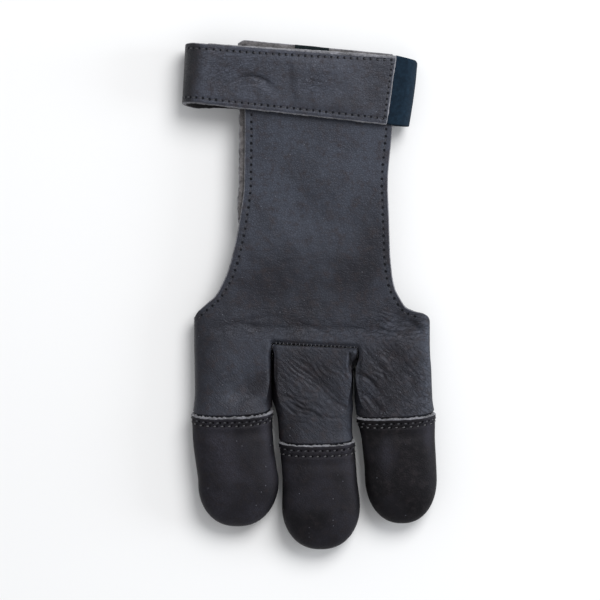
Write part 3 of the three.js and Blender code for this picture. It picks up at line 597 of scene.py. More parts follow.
def sectionPoint(middle, half, top, bottom, angle, inset=0, square=0, lift=0):
    # superellipse: sign(cos) * |cos|^(2 / power) and the same of sin, its corners pulled out to a
    # square by the given share, resting at lift
    c, s = np.cos(angle), np.sin(angle)
    reach = np.maximum(np.abs(c), np.abs(s))
    u = mix(np.sign(c) * np.abs(c) ** (2 / sectionPower), c / reach, square)
    v = mix(np.sign(s) * np.abs(s) ** (2 / sectionPower), s / reach, square)
    centre, rise = (top + bottom) / 2, (top - bottom) / 2 - inset
    return middle + (half - inset) * u, np.maximum(centre + rise * v, lift)


def rimY(stall, angle):
    # where a cap's rim runs: level, less a dip by the sine over the top and a tilt by the cosine
    dip = stall["rimDip"] * np.maximum(0, np.sin(angle)) - stall["rimTilt"] * np.cos(angle)
    return stall["cap"] - stall["length"] - dip * stall["half"] * 2


def capWall(pastRim):
    # cubic step from the thin rim to the full wall over the cap's overlap
    return mix(leather["capRim"], leather["cap"], smooth(0, capOverlap, pastRim))


def flare(pastRim):
    # how far the cap stands out at the rim: falls in a cubic step to 0 by half the overlap
    return capFlare * (1 - smooth(0, capOverlap / 2, pastRim))


def sleevePoint(stall, y, angle, square):
    # the stall's section, drawn in by the cap's wall below the rim
    past = rimY(stall, angle) - y
    room = capWall(np.maximum(past, 0)) + leather["clearance"]
    tuck = smooth(-0.9, 0.05, past)
    inset = tuck * (room - flare(past))
    x, z = sectionPoint(*outlineOf(stall, y), angle, inset, square, tuck * room)
    return np.stack([x, y + 0 * x, pressFolds(x, y, z)], axis=-1)


# Outline and height of the back of the hand


def liningTop(x):
    # the wrist's top edge: a line beside the strap's upper edge, at the strap's tilt
    return (wrist["y"] + (wrist["width"] / 2 + wrist["liningRise"]) / np.cos(wrist["tilt"])
            - (x - wrist["x"]) * np.tan(wrist["tilt"]))


panelLength = liningTop(hand["middle"])
panelRing = hand["middle"] - hand["width"] / 2
panelIndex = hand["middle"] + hand["width"] / 2


def ringEdge(y):
    # panel side + (shoulder's reach past it) * the table's share at y
    return panelRing + (hand["ringSide"] - panelRing) * readTable(
        sideRows, 1, (y - ringStall["shoulder"]) / (panelLength - ringStall["shoulder"]))


def indexEdge(y):
    # the same on the index side
    return panelIndex + (hand["indexSide"] - panelIndex) * readTable(
        sideRows, 2, (y - indexStall["shoulder"]) / (panelLength - indexStall["shoulder"]))


def archOver(x):
    # arch * cos^2(pi * distance from the middle / 1.5 widths)
    return hand["arch"] * np.cos(np.pi * (x - hand["middle"]) / (1.5 * hand["width"])) ** 2


def handHeight(x, y):
    # level over the hand, arched at the wrist, dropping as a superellipse beyond the finger axes
    towardsWrist = smooth(0, hand["foldStart"], y)
    top = mix(mouthHeight, hand["wristHeight"], towardsWrist)
    beyond = np.maximum(np.maximum((ringStall["axis"] - x) / ringStall["half"],
                                   (x - indexStall["axis"]) / indexStall["half"]), 0)
    left = np.maximum(0, 1 - np.minimum(1, beyond) ** sectionPower) ** (1 / sectionPower)
    drop = (mouthHeight - stallBase) / 2 * (1 - left)
    return pressFolds(x, y, top + archOver(x) * towardsWrist - drop)


def mouthY(stall, angle):
    # from the shoulder on the outer side to the knuckle seam on the inner one, cut back under the
    # finger by the palm opening * |sin|
    seam = -seamSlant / 2 * stall["outer"]
    inward = (1 - stall["outer"] * np.cos(angle)) / 2
    over = mix(stall["shoulder"], seam, smooth(0, 0.85, inward))
    under = mix(stall["shoulder"], seam - palmOpening * np.abs(np.sin(angle)), smooth(0, 0.6, inward))
    return np.where(np.sin(angle) >= 0, over, under)


def innerSquare(stall, angle):
    # share of the square corner: over the top on the inner side only
    return np.where(np.sin(angle) > 0, smooth(0, 0.4, -stall["outer"] * np.cos(angle)), 0.0)


# Tone of the hide


# Weight of each area's tone, all from 0 to 1 before it, and of each area's wrinkles; the tone is painted
# sheen, painted highlights and painted shade, and darker over the index finger
hideTone = {"base": 0.14, "wrist": 0.75, "ring": 0.3, "index": -0.36, "side": 0.8, "middle": 0.5,
            "sunk": -0.30, "lowest": -0.4, "highest": 1.2}
hideWrinkle = {"base": 0.22, "fingers": 0.75, "knuckles": 0.7}
# Soft patches of painted sheen and painted shade: x, y, half length, half width, weight, turn in degrees
hidePatches = [(-23.0, -16.6, 4.5, 4.0, -0.4, 0), (-34.4, -20.7, 6.0, 4.0, 0.3, 0),
               (-34.0, -9.0, 5.0, 5.0, 0.15, 0), (-10.0, -11.0, 9.0, 3.0, 0.3, -63),
               (4.0, -11.0, 6.0, 2.6, -0.3, -75), (21.0, -18.0, 6.0, 2.0, 0.4, -55),
               (30.7, 6.2, 5.0, 2.0, 0.25, -10), (37.6, 6.9, 3.5, 2.6, -0.6, 20),
               (28.7, -11.0, 6.0, 4.0, -0.25, -40)]


def patchTone(rows, x, y):
    # sum of weight * exp(-u^2 - v^2), u and v measured along and across each patch
    total = 0.0
    for cx, cy, length, width, weight, turn in rows:
        u, v = turned(x, y, cx, cy, turn)
        total = total + weight * np.exp(-(u / length) ** 2 - (v / width) ** 2)
    return total


def hideToning(x, y):
    # base + sum of weight * area + patches. The areas: painted sheen, paler towards the wrist; painted
    # highlights over the ring finger, along the index finger's outer side and along the middle sleeve's index
    # edge; darker on the index finger; painted shade on the sunk sleeve
    areas = {"wrist": smooth(24, 66, y - 0.35 * x),
             "ring": bell(x + 38.0, 9.0) * bell(y + 16.0, 16.0),
             "index": smooth(14, 22, x) * smooth(6, -4, y),
             "side": bell(x - 45.0, 3.2) * smooth(14, 4, y),
             "middle": bell(x - 13.2, 2.2) * smooth(-3, -7, y) * smooth(-42, -36, y),
             "sunk": smooth(17.5, 15.5, np.abs(x)) * smooth(0, -3, y)}
    tone = hideTone["base"] + sum(hideTone[key] * area for key, area in areas.items())
    return np.clip(tone + patchTone(hidePatches, x, y), hideTone["lowest"], hideTone["highest"])


def hideWrinkling(x, y):
    # base + weight * area within 0 and 1: over the index and middle fingers, along the knuckles
    fingers = smooth(2, -4, y) * smooth(-20, -14, x) * smooth(-44, -30, y) * mix(0.6, 1, smooth(12, 18, x))
    knuckles = bell(y - 7.5, 6.5) * (0.45 + 0.55 * smooth(5, 26, x))
    return np.clip(hideWrinkle["base"] + hideWrinkle["fingers"] * fingers
                   + hideWrinkle["knuckles"] * knuckles, 0, 1)


def leatherMarks(points):
    # the three attributes that the grain leather reads, creases slanting on the fingers
    x, y = points[:, 0], points[:, 1]
    return {"toneAndPaintedLight": hideToning(x, y), "wrinkled": hideWrinkling(x, y), "slanting": smooth(3, -3, y)}


# Seams and stitches


def nearestOnPath(points, path):
    # for the nearest place on a polyline: distance along it, and distance from it, plus to its left
    delta = np.diff(path, axis=0)
    length = np.linalg.norm(delta, axis=1)
    start = np.concatenate([[0], np.cumsum(length)[:-1]])
    rel = points[:, None, :] - path[None, :-1, :]
    t = np.clip((rel * delta).sum(-1) / (length ** 2), 0, 1)
    away = rel - t[..., None] * delta
    gap = np.linalg.norm(away, axis=-1)
    best = gap.argmin(axis=1)
    row = np.arange(len(points))
    side = np.sign(delta[best, 0] * rel[row, best, 1] - delta[best, 1] * rel[row, best, 0])
    return start[best] + t[row, best] * length[best], gap[row, best] * np.where(side == 0, 1, side)


def resample(path, pitch, first, reach=0.3):
    # points every pitch along a polyline, the first one so far from its start, and the direction
    # there: place a reach ahead - place a reach behind, made one long
    total = lengthsAlong(path)
    at = np.arange(first, total[-1], pitch)
    points, ahead, behind = (np.stack([np.interp(where, total, path[:, k]) for k in range(3)], axis=-1)
                             for where in (at, at + reach, at - reach))
    tangent = ahead - behind
    return points, tangent / np.linalg.norm(tangent, axis=1, keepdims=True)


def stitchesAt(points, tangent, up, length, radius, proud, slant=0.0):
    # a bowed capsule at each point, with s from -1 to 1 along it: girth = radius * sqrt(1 - s^6),
    # height of its middle line = radius * (4 * proud - 1.5 * s^4), so its ends are in the leather
    rings, around = 7, 8
    up = np.broadcast_to(up, points.shape)
    side = np.cross(up, tangent)
    side /= np.linalg.norm(side, axis=1, keepdims=True)
    up = np.cross(tangent, side)
    tangent, side = (tangent * np.cos(slant) + side * np.sin(slant),
                     side * np.cos(slant) - tangent * np.sin(slant))
    s = np.linspace(-1, 1, rings)[:, None]
    turn = np.linspace(0, 2 * np.pi, around, endpoint=False)
    girth = radius * np.sqrt(np.maximum(0.02, 1 - s ** 6))
    bow = radius * (4 * proud - 1.5 * s ** 4)
    local = np.stack(np.broadcast_arrays(s * length / 2, girth * np.cos(turn), girth * np.sin(turn) + bow),
                     axis=-1).reshape(-1, 3)
    jitter = rng.uniform(-0.06, 0.06, (len(points), 2))
    placed = (points[:, None] + tangent[:, None] * (local[None, :, 0:1] * (1 + jitter[:, None, :1]))
              + side[:, None] * (local[None, :, 1:2] + jitter[:, None, 1:2])
              + up[:, None] * local[None, :, 2:3])
    end = (rings - 1) * around
    caps = ([[k + 1, k, 0, 0] for k in range(1, around - 1)]
            + [[end + k, end + k + 1, end, end] for k in range(1, around - 1)])
    faces = np.concatenate([gridQuads(rings, around, True)[:, ::-1], np.array(caps)])
    faces = (faces[None] + len(local) * np.arange(len(points))[:, None, None]).reshape(-1, 4)
    return placed.reshape(-1, 3), faces


# The panel's two seams: their ends, how far in from the edge, and less far in at the shoulder
panelSeam = {"ringLow": 11.5, "indexLow": 13.0, "high": 96.0, "ringInset": 2.3, "indexInset": -2.1,
             "shoulderShare": 0.78, "shoulder": (18, 32), "count": 160}


def edgePath(edge, low, inset):
    # a side of the panel moved by the inset along its own normal, the slope turned a quarter
    y = np.linspace(panelSeam["high"], low, panelSeam["count"])
    inset = inset * mix(panelSeam["shoulderShare"], 1, smooth(*panelSeam["shoulder"], y))[:, None]
    path = np.stack([edge(y), y], axis=-1)
    slope = np.gradient(path, axis=0)
    normal = np.stack([-slope[:, 1], slope[:, 0]], axis=-1)
    normal /= np.linalg.norm(normal, axis=1, keepdims=True)
    return path + normal * inset


panelSeams = [edgePath(ringEdge, panelSeam["ringLow"], panelSeam["ringInset"]),
              edgePath(indexEdge, panelSeam["indexLow"], panelSeam["indexInset"])]


def seamAttributes(points, paths, pitch):
    # from the nearest seam: distance along it / pitch, and distance off it
    found = [nearestOnPath(points[:, :2], path) for path in paths]
    off = np.stack([f[1] for f in found])
    best = np.abs(off).argmin(axis=0)
    row = np.arange(len(points))
    along = np.stack([f[0] for f in found])[best, row]
    return along / pitch, off[best, row]


# The hide: panel rows over the hand, then a sleeve round each outer finger

# Points round a sleeve and along the panel; how far the hide ends below the lining's top edge; the
# panel rows' spacing; depth and half width of the edge that rolls down into the knuckle seam
hide = {"around": 144, "panelRows": 128, "seamColumns": 40, "openRows": 52, "tuck": 1.2,
        "rowShare": 0.35, "rowPower": 2.2, "bulge": 0.28, "roll": 0.95, "ringRoll": 0.7, "rollWidth": 1.0}
# Rows of every sleeve: the neck's length at the rim, and where the square corner fades out
sleeve = {"neck": 1.6, "neckRows": 8, "hiddenRows": 4, "rowPower": 1.25, "fade": (12, 32),
          "rimFade": (-7, -1)}
# The hide's edge along the middle sleeve's ring side, the knuckle seam and its index side: x, y
seamLine = np.array([[-16.6, -40.0], [-16.75, -8.0], [-16.9, 0.9], [17.0, -0.9], [16.9, -8.0], [16.4, -40.0]])
# How far the tops of the sleeves are drawn apart on each side of the two valleys, and over what
# distance, height and length; then where each side's top edge is
sideValley = {"ringSide": 0.95, "middleRing": 0.85, "middleIndex": 0.75, "indexSide": 0.6, "reach": 5.5,
              "rise": (4.5, 12.0), "start": (0.0, -5.0), "end": (-31.0, -22.0),
              "ringEdge": -17.0, "indexEdge": 16.4, "middleEdge": 15.6}
onTop = (8.0, 11.0)  # from here up a sleeve's point belongs to its upper side


def sleeveGrid(stall, angles, mouth, mouthRow, square, openRows):
    # rows from the mouth to the neck, through the neck to the rim, then inside the cap: each is a
    # mix of the two ends' y, closer together by the mouth
    rim = rimY(stall, angles)
    steps = np.linspace(0, 1, openRows + 1)[1:] ** sleeve["rowPower"]
    opened = [mix(mouth, rim + sleeve["neck"], share) for share in steps]
    neck = [rim + sleeve["neck"] * (1 - share) for share in np.linspace(0, 1, sleeve["neckRows"] + 1)[1:]]
    hidden = [rim - capOverlap * share for share in np.linspace(0, 1, sleeve["hiddenRows"] + 1)[1:]]
    rows = [mouthRow]
    for y in [*opened, *neck, *hidden]:
        boxed = square * (1 - smooth(*sleeve["fade"], mouth - y)) * (1 - smooth(*sleeve["rimFade"], rim - y))
        rows.append(sleevePoint(stall, y, angles, boxed))
    return np.stack(rows)


def ringAngles(count):
    # half of the points lie evenly along the top quarter, the others at even angles
    corner = count // 12
    over = np.arctan2(1, np.linspace(-1, 1, count // 2 + 1)[:-1])
    return np.concatenate([np.linspace(np.pi, 0.75 * np.pi, corner, endpoint=False), over,
                           np.linspace(0.25 * np.pi, -np.pi, count - corner - count // 2, endpoint=False)])


def valleyShare(x, y, z, edge):
    # how far the top of a sleeve's side is drawn away from its neighbour: a product of cubic steps
    # by distance from the side's edge, by height and by length
    near = 1 - smooth(0, sideValley["reach"], np.abs(x - edge))
    return (near * smooth(*sideValley["rise"], z) * smooth(*sideValley["start"], y)
            * smooth(*sideValley["end"], y))


def closeSeam(points, faces, kinds):
    # the edges in the knuckle seam are turned in: cut faces whose centre is there get the grain side
    centre = points[faces].mean(axis=1)
    sewn = (kinds == 2) & (np.abs(centre[:, 0]) < 18.5) & (centre[:, 1] < 4) & (centre[:, 2] > 6)
    return np.where(sewn, 0, kinds)


def makeHide():
    # panel points: mixed from side to side, at the hand's height; sleeve points: the stalls' own
    # sections; panel and sleeves share the row where they meet
    angles = ringAngles(hide["around"])
    corner = hide["around"] // 12
    back = corner + hide["around"] // 2
    stalls = {"ring": ringStall, "index": indexStall}
    mouths = {key: sleevePoint(stall, mouthY(stall, angles), angles, innerSquare(stall, angles))
              for key, stall in stalls.items()}
    shared = {"ring": slice(0, back + 1), "index": slice(corner, corner + back + 1)}
    ringBack, indexBack = (mouths[key][shared[key]] for key in ("ring", "index"))
    share = np.linspace(0, 1, hide["seamColumns"] + 2)[1:-1]
    x = mix(ringBack[-1, 0], indexBack[0, 0], share)
    y = mix(ringBack[-1, 1], indexBack[0, 1], share)
    low = np.concatenate([ringBack, np.stack([x, y, handHeight(x, y)], axis=-1), indexBack])
    # rows are close together by the knuckle seam
    t = np.linspace(1, 0, hide["panelRows"])
    rows = mix(t ** hide["rowPower"], t, hide["rowShare"])[:-1, None]
    across = (low[:, 0] - hand["ringSide"]) / (hand["indexSide"] - hand["ringSide"])
    top = (liningTop(mix(ringEdge(panelLength), indexEdge(panelLength), across))
           - wrist["liningRise"] - hide["tuck"])
    yy = mix(low[:, 1], top, rows)
    xx = mix(ringEdge(yy), indexEdge(yy), across)
    panel = np.concatenate([np.stack([xx, yy, handHeight(xx, yy)], axis=-1), low[None]])
    parts = [(panel.reshape(-1, 3), gridQuads(*panel.shape[:2]))]
    for key, stall in stalls.items():
        mouthRow = mouths[key].copy()
        mouthRow[shared[key]] = low[:back + 1] if key == "ring" else low[-back - 1:]
        grid = sleeveGrid(stall, angles, mouthY(stall, angles), mouthRow, innerSquare(stall, angles),
                          hide["openRows"])
        parts.append((grid.reshape(-1, 3), gridQuads(len(grid), hide["around"], True)))
    points, quads = weld(*joinParts(parts))
    # the edge that the middle sleeve is sewn to rolls down into the seam, deeper on the ring side
    _, gap = nearestOnPath(points[:, :2], seamLine)
    x, y, z = points.T
    roll = hide["roll"] + hide["ringRoll"] * smooth(-10.0, -16.0, x)
    rolled = smooth(*onTop, z) * smooth(-24.0, -4.0, y) * roll * bell(np.abs(gap), hide["rollWidth"])
    points[:, 2] = z - rolled
    x, y, z = points.T
    points[:, 0] = (x - sideValley["ringSide"] * valleyShare(x, y, z, sideValley["ringEdge"]) * (x < 0)
                    + sideValley["indexSide"] * valleyShare(x, y, z, sideValley["indexEdge"]) * (x > 0))
    phase, off = seamAttributes(points, panelSeams, hideLook["pitch"])
    solid, faces, kinds, source = thicken(points, quads, leather["hide"], bulge=hide["bulge"])
    marks = {"seamPhase": phase[source], "seamOff": off[source], **leatherMarks(solid)}
    makePiece("hideOfHand", solid, faces, closeSeam(solid, faces, kinds),
              (hideMaterial, fleshMaterial, rawMaterial), marks, ("hand_hide",))


makeHide()
print("hide made")


# The middle sleeve, sewn into the knuckle seam

# Points round it; gap in the seam; radii of its two top corners; half width and slope of its upper
# edge; depth and half width of the rolled edge, and past which y it fades
middle = {"around": 216, "openRows": 84, "gap": 0.6, "corner": 2.2, "indexCorner": 0.9, "side": 16.9,
          "slope": 0.054, "roll": 0.95, "rollWidth": 0.75, "rollEnd": -22, "rollFade": 0.5}
# The pucker at the index corner: where the flap folds and how that line leans, its y from top to end, then
# depth or height, place and half width of its parts, and their weight in the tone, which is painted shade
# over the flap and painted highlight on the lip and the crest
pucker = {"fold": 13.85, "lean": 0.22, "foldWidth": 0.5, "top": -2.6, "tip": -8.5, "end": -12.5,
          "depth": 2.2, "pull": 0.7, "groove": 0.85, "grooveAt": 0.1, "grooveWidth": 0.34,
          "lip": 0.3, "lipAt": -0.95, "lipWidth": 0.75, "crest": 0.4, "crestX": 15.4, "crestY": -3.1,
          "crestWidth": 1.1, "flapTone": 1.4, "litTone": 0.45}


def puckerShares(x, y):
    # a flap that falls away towards its tip, the groove on its left, the raised lip beside that and
    # the flap's lit crest, each from 0 to 1: bells across and cubic steps along
    beyond = x - pucker["fold"] - pucker["lean"] * np.maximum(0, pucker["tip"] - y)
    top = pucker["top"]
    ends = smooth(pucker["end"], pucker["tip"], y)
    flap = smooth(0, pucker["foldWidth"], beyond) * smooth(top, pucker["tip"], y) * ends
    groove = bell(beyond - pucker["grooveAt"], pucker["grooveWidth"]) * smooth(top, top - 1.2, y) * ends
    lip = bell(beyond - pucker["lipAt"], pucker["lipWidth"]) * smooth(top, top - 1.8, y) * ends
    crest = (bell(x - pucker["crestX"], pucker["crestWidth"])
             * bell(y - pucker["crestY"], pucker["crestWidth"]))
    return flap, groove, lip, crest


def makeMiddleSleeve():
    # the stall's section - roll * bell of the distance in from the edge of a box with round corners
    # + the pucker's parts, its sides drawn apart from the neighbours
    angles = ringAngles(middle["around"])
    seam = -middle["gap"] - seamSlant / 2 * np.cos(angles)
    mouth = seam - palmOpening * np.maximum(0, -np.sin(angles))
    square = smooth(-0.2, 0.3, np.sin(angles))
    mouthRow = sleevePoint(middleStall, mouth, angles, square)
    grid = sleeveGrid(middleStall, angles, mouth, mouthRow, square, middle["openRows"])
    x, y, z = grid[..., 0], grid[..., 1], grid[..., 2]
    upper = smooth(*onTop, z)
    corner = np.where(x < 0, middle["corner"], middle["indexCorner"])
    pastX, pastY = np.abs(x) - middle["side"] + corner, y + middle["slope"] * x + corner
    edge = (corner - np.hypot(np.maximum(pastX, 0), np.maximum(pastY, 0))
            - np.minimum(np.maximum(pastX, pastY), 0))
    edge = edge + middle["rollFade"] * np.maximum(0, middle["rollEnd"] - y)
    z -= upper * middle["roll"] * bell(np.maximum(edge, 0), middle["rollWidth"])
    flap, groove, lip, crest = puckerShares(x, y)
    z += upper * (pucker["lip"] * lip + pucker["crest"] * crest - pucker["depth"] * flap
                  - pucker["groove"] * groove)
    fromRing = sideValley["middleRing"] * valleyShare(x, y, z, sideValley["ringEdge"])
    fromIndex = (sideValley["middleIndex"] * valleyShare(x, y, z, sideValley["middleEdge"])
                 * smooth(-3.0, -9.0, y))
    x += fromRing - fromIndex - pucker["pull"] * upper * flap * smooth(14.6, 16.4, x)
    quads = gridQuads(len(grid), len(angles), True)
    solid, faces, kinds, _ = thicken(grid.reshape(-1, 3), quads, leather["hide"], bulge=hide["bulge"])
    noSeam = np.full(len(solid), farAway)
    marks = {"seamPhase": noSeam, "seamOff": noSeam, **leatherMarks(solid)}
    flap, groove, lip, crest = puckerShares(solid[:, 0], solid[:, 1])
    # painted shade over the flap and in the groove, painted highlight on the lip and the crest
    marks["toneAndPaintedLight"] = (marks["toneAndPaintedLight"] - pucker["flapTone"] * flap ** 2 - groove
                      + pucker["litTone"] * (lip + crest))
    makePiece("middleSleeve", solid, faces, closeSeam(solid, faces, kinds),
              (hideMaterial, fleshMaterial, rawMaterial), marks, ("middle_sleeve",))


makeMiddleSleeve()
print("middle sleeve made")


# The caps and their stitches

cap = {"around": 144, "rimRows": 24, "rimShare": 0.3, "straightRows": 26,
       # the dome: rows, last turn in degrees, the tip's height, powers of the cosine
       "domeRows": 26, "domeEnd": 88, "tipHeight": 0.42, "widthPower": 0.88, "heightPower": 0.75,
       # depth and half width of the two sewn rows, and of the hollow a little past them
       "firstDepth": 0.28, "firstWidth": 0.55, "secondDepth": 0.3, "secondWidth": 0.6,
       "hollow": 0.5, "hollowPast": 3.5, "hollowWidth": 2.4,
       # height and size of the noise on the leather, on the rim and on its raw edge
       "swell": 0.12, "swellSize": 13.0, "ripple": 0.05, "rippleSize": 5.0, "wear": 0.16, "wearSize": 2.3,
       "fray": 0.16, "fraySize": 7.0, "tear": 0.42, "tearSize": 1.7, "lip": 0.9, "bulge": 0.12,
       # tone: base, side and tip shares of the stall's own tone, and the lit band on the index side
       "toneBase": 0.5, "toneSide": 0.3, "toneTip": 0.45, "toneBand": 0.7, "wrinkled": 0.6}
# Patches of painted sheen on the caps: x, y, half length, half width, weight, turn in degrees
capPatches = [(-35.0, -44.0, 12.0, 4.2, 0.85, -67), (-2.0, -51.0, 9.0, 8.0, 0.35, 0),
              (28.6, -44.0, 11.0, 2.8, 0.95, -88)]
capStitch = {"length": 1.2, "radius": 0.24, "proud": 0.04, "slant": 0.25}
capRow = {"past": 0.36, "sidePoints": 24, "points": 240}


def capSurface(stall, past, angle):
    # a point of the straight part of a cap, a distance past its rim: the section with its flare
    y = rimY(stall, angle) - past
    x, z = sectionPoint(*outlineOf(stall, y), angle, -flare(past))
    return np.stack([x, y + 0 * x, z], axis=-1)


def capGrid(stall, angles, worn):
    # straight rows from the worn rim to where the dome begins, then a dome: width by a power of the
    # cosine, height by another, its middle moving to the tip by the sine; returned with the tip
    roundY = -stall["length"] * stall["roundFrom"]
    straight = rimY(stall, angles) - roundY
    shares = np.concatenate([np.linspace(0, cap["rimShare"], cap["rimRows"])[:-1],
                             np.linspace(cap["rimShare"], 1, cap["straightRows"])])
    rows = [capSurface(stall, mix(worn, straight, share), angles) for share in shares]
    middleX, half, top, bottom = outlineOf(stall, np.array(roundY))
    tipX = outlineOf(stall, np.array(-stall["length"]))[0]
    tipZ = cap["tipHeight"] * stallHeight
    for turn in np.radians(np.linspace(0, cap["domeEnd"], cap["domeRows"])[1:]):
        y = roundY - (stall["length"] + roundY) * np.sin(turn)
        centre = mix((top + bottom) / 2, tipZ, np.sin(turn) ** 2)
        rise = (top - bottom) / 2 * np.cos(turn) ** cap["heightPower"]
        x, z = sectionPoint(mix(middleX, tipX, np.sin(turn)), half * np.cos(turn) ** cap["widthPower"],
                            centre + rise, centre - rise, angles)
        rows.append(np.stack([x, y + 0 * x, z], axis=-1))
    return np.stack(rows), [tipX, -stall["length"], tipZ]


def capMarks(stall, points, past, girth):
    # seam: distance from the nearer of the two rows, the second one half a stitch on; tone: the
    # stall's own * (base + side + tip) + lit band + patches, which start past the seam
    first, second = stall["stitches"]
    nearFirst = np.abs(past - first) < np.abs(past - second)
    length = stall["length"]
    x, y = points[:, 0], points[:, 1]
    # a mask of the cap's middle, not of wear: 0 by the rim and by the tip, 1 between
    worn = smooth(2.0, 10.0, past) * smooth(-length - 4, -length + 22, y)
    side = bell(x - stall["axis"] + stall["half"] * 0.45, stall["half"] * 0.35)
    tip = smooth(-length + 17, -length + 5, y)
    centre, half, *_ = outlineOf(stall, y)
    # a painted highlight band by the index-side edge; the patches below add painted sheen
    band = bell((x - centre) / half - 0.82, 0.13) * smooth(26, 8, past)
    tone = (stall["tone"] * (cap["toneBase"] + cap["toneSide"] * worn * side + cap["toneTip"] * tip)
            + cap["toneBand"] * band + patchTone(capPatches, x, y) * smooth(2, 8, past))
    return {"seamPhase": girth / capLook["pitch"] + np.where(nearFirst, 0.0, 0.5),
            "seamOff": np.where(nearFirst, past - first, past - second), "toneAndPaintedLight": tone,
            "wrinkled": cap["wrinkled"] * side * worn, "slanting": np.ones(len(points))}


def makeCap(name, stall, node):
    # the cap's grid - a bell of depth along each sewn row and past them + two noises, closed by a
    # fan at the tip, with a raw edge whose length wanders
    angles = ringAngles(cap["around"])
    length = lengthsAlong(capSurface(stall, 2.0, angles))
    seed = stall["outer"]
    worn = stall["rawEdge"] + cap["wear"] * softNoise(length, 0 * length, cap["wearSize"], 96 + seed)
    grid, tip = capGrid(stall, angles, worn)
    past = rimY(stall, angles)[None] - grid[..., 1]
    x, y, z = grid[..., 0], grid[..., 1], grid[..., 2]
    first, second = stall["stitches"]
    sewn = (cap["firstDepth"] * bell(past - first, cap["firstWidth"])
            + cap["secondDepth"] * bell(past - second, cap["secondWidth"]))
    uneven = (cap["swell"] * softNoise(x, y, cap["swellSize"], 30 + seed)
              + cap["ripple"] * softNoise(x, y, cap["rippleSize"], 40 + seed))
    hollow = cap["hollow"] * bell(past - second - cap["hollowPast"], cap["hollowWidth"])
    z += smooth(4.0, 10.0, z) * (uneven - sewn - hollow)
    points = np.concatenate([grid.reshape(-1, 3), [tip]])
    last = len(points) - 1 - cap["around"] + np.arange(cap["around"])
    fan = np.stack([last, np.full_like(last, len(points) - 1), np.roll(last, -1), np.roll(last, -1)], axis=-1)
    quads = np.concatenate([gridQuads(len(grid), cap["around"], True), fan])
    pastAll = np.append(past.reshape(-1), 40.0)
    girth = np.append(np.broadcast_to(length, grid.shape[:2]).reshape(-1), 0.0)
    frayed = (cap["fray"] * softNoise(length, 0 * length, cap["fraySize"], 90 + seed)
              + cap["tear"] * softNoise(length, 0 * length, cap["tearSize"], 93 + seed))
    lip = np.zeros_like(points)
    lip[:cap["around"], 1] = stall["rawEdge"] * cap["lip"] + frayed
    solid, faces, kinds, source = thicken(points, quads, capWall(pastAll), lip, bulge=cap["bulge"])
    marks = {key: values[source] for key, values in capMarks(stall, points, pastAll, girth).items()}
    makePiece(name, solid, faces, kinds, (capMaterial, fleshMaterial, rawMaterial), marks, (node,))


def capStitches(name, stall):
    # two rows over the top of the finger, from low on one side to low on the other, one stitch
    # every pitch, the second row half a pitch on
    parts = []
    pitch = capLook["pitch"]
    before = np.linspace(np.pi + capRow["past"], np.pi, capRow["sidePoints"])
    angles = np.concatenate([before[:-1], np.linspace(np.pi, -capRow["past"], capRow["points"])])
    for number, past in enumerate(stall["stitches"]):
        path = capSurface(stall, past, angles)
        path[:, 2] -= smooth(4.0, 10.0, path[:, 2]) * cap["firstDepth"]
        lead = lengthsAlong(path[:len(before)])[-1]
        points, tangent = resample(path, pitch, (lead + 0.5 * pitch * number) % pitch)
        parts.append(stitchesAt(points, tangent, np.cross(tangent, toWrist), **capStitch))
    # the row by the rim is sunk and dark, the other one catches the light: both rows are one thread, shown
    # dark as painted shade and pale as a painted highlight
    kinds = np.concatenate([np.full(len(quads), number) for number, (_, quads) in enumerate(parts)])
    points, faces = joinParts(parts)
    makePiece(name, points, faces, kinds, (darkThread, litThread))


for capName, stall, node in (("ringCap", ringStall, "ring_cap"), ("middleCap", middleStall, "middle_cap"),
                             ("indexCap", indexStall, "index_cap")):
    makeCap(capName, stall, node)
    capStitches(capName + "Stitches", stall)
print("caps made")


# Stitches of the panel and of the knuckle seam

panelStitch = {"length": 1.5, "radius": 0.22, "proud": 0.02}
panelStitchSink = 0.17
knuckleStitch = {"length": 1.15, "radius": 0.19, "proud": 0.3}
# Ends, count and middle y of the knuckle seam's stitches, how deep they lie, and what each spans
knuckle = {"from": -15.6, "to": 15.8, "count": 21, "y": 0.05, "sink": 0.98, "ahead": 0.45, "behind": -0.75,
           "wander": 0.12}


def panelStitches():
    # a stitch every pitch along both seams, at the hand's height less the sink
    parts = []
    for path in panelSeams:
        line = np.column_stack([path, handHeight(path[:, 0], path[:, 1]) - panelStitchSink])
        points, tangent = resample(line, hideLook["pitch"], hideLook["pitch"])
        parts.append(stitchesAt(points, tangent, upward, **panelStitch))
    points, faces = joinParts(parts)
    makePiece("panelStitches", points, faces, None, (darkThread,))


def knuckleStitches():
    # short stitches across the knuckle seam, evenly from end to end, each leaning a little at random
    x = np.linspace(knuckle["from"], knuckle["to"], knuckle["count"])
    y = knuckle["y"] - middle["slope"] * x
    z = handHeight(x, y) - knuckle["sink"]
    parts = []
    for point in np.stack([x, y, z], axis=-1):
        path = point + np.array([[0, knuckle["ahead"], 0], [0, knuckle["behind"], 0]])
        path[:, 0] += rng.uniform(-knuckle["wander"], knuckle["wander"], 2)
        span = knuckle["ahead"] - knuckle["behind"]
        points, tangent = resample(path, span, span / 2)
        parts.append(stitchesAt(points, tangent, upward, **knuckleStitch))
    points, faces = joinParts(parts)
    makePiece("knuckleStitches", points, faces, None, (darkThread,))


panelStitches()
knuckleStitches()
print("panel and knuckle seams stitched")


# The lining

# How far it shows past the hide, rows and columns, and how far its top edge is lowered; height and
# size of its edge's wander and of its nap; cut of the wrist corner on the ring side
lining = {"show": 2.4, "rows": 120, "columns": 60, "lowered": 0.3, "wander": 0.22, "wanderSize": 5.0,
          "nick": 0.1, "nickSize": 1.7, "corner": 1.3, "cornerReach": 3.0, "cornerFrom": 0.955,
          "nap": 0.1, "napSize": 4.0, "bulge": 0.3}
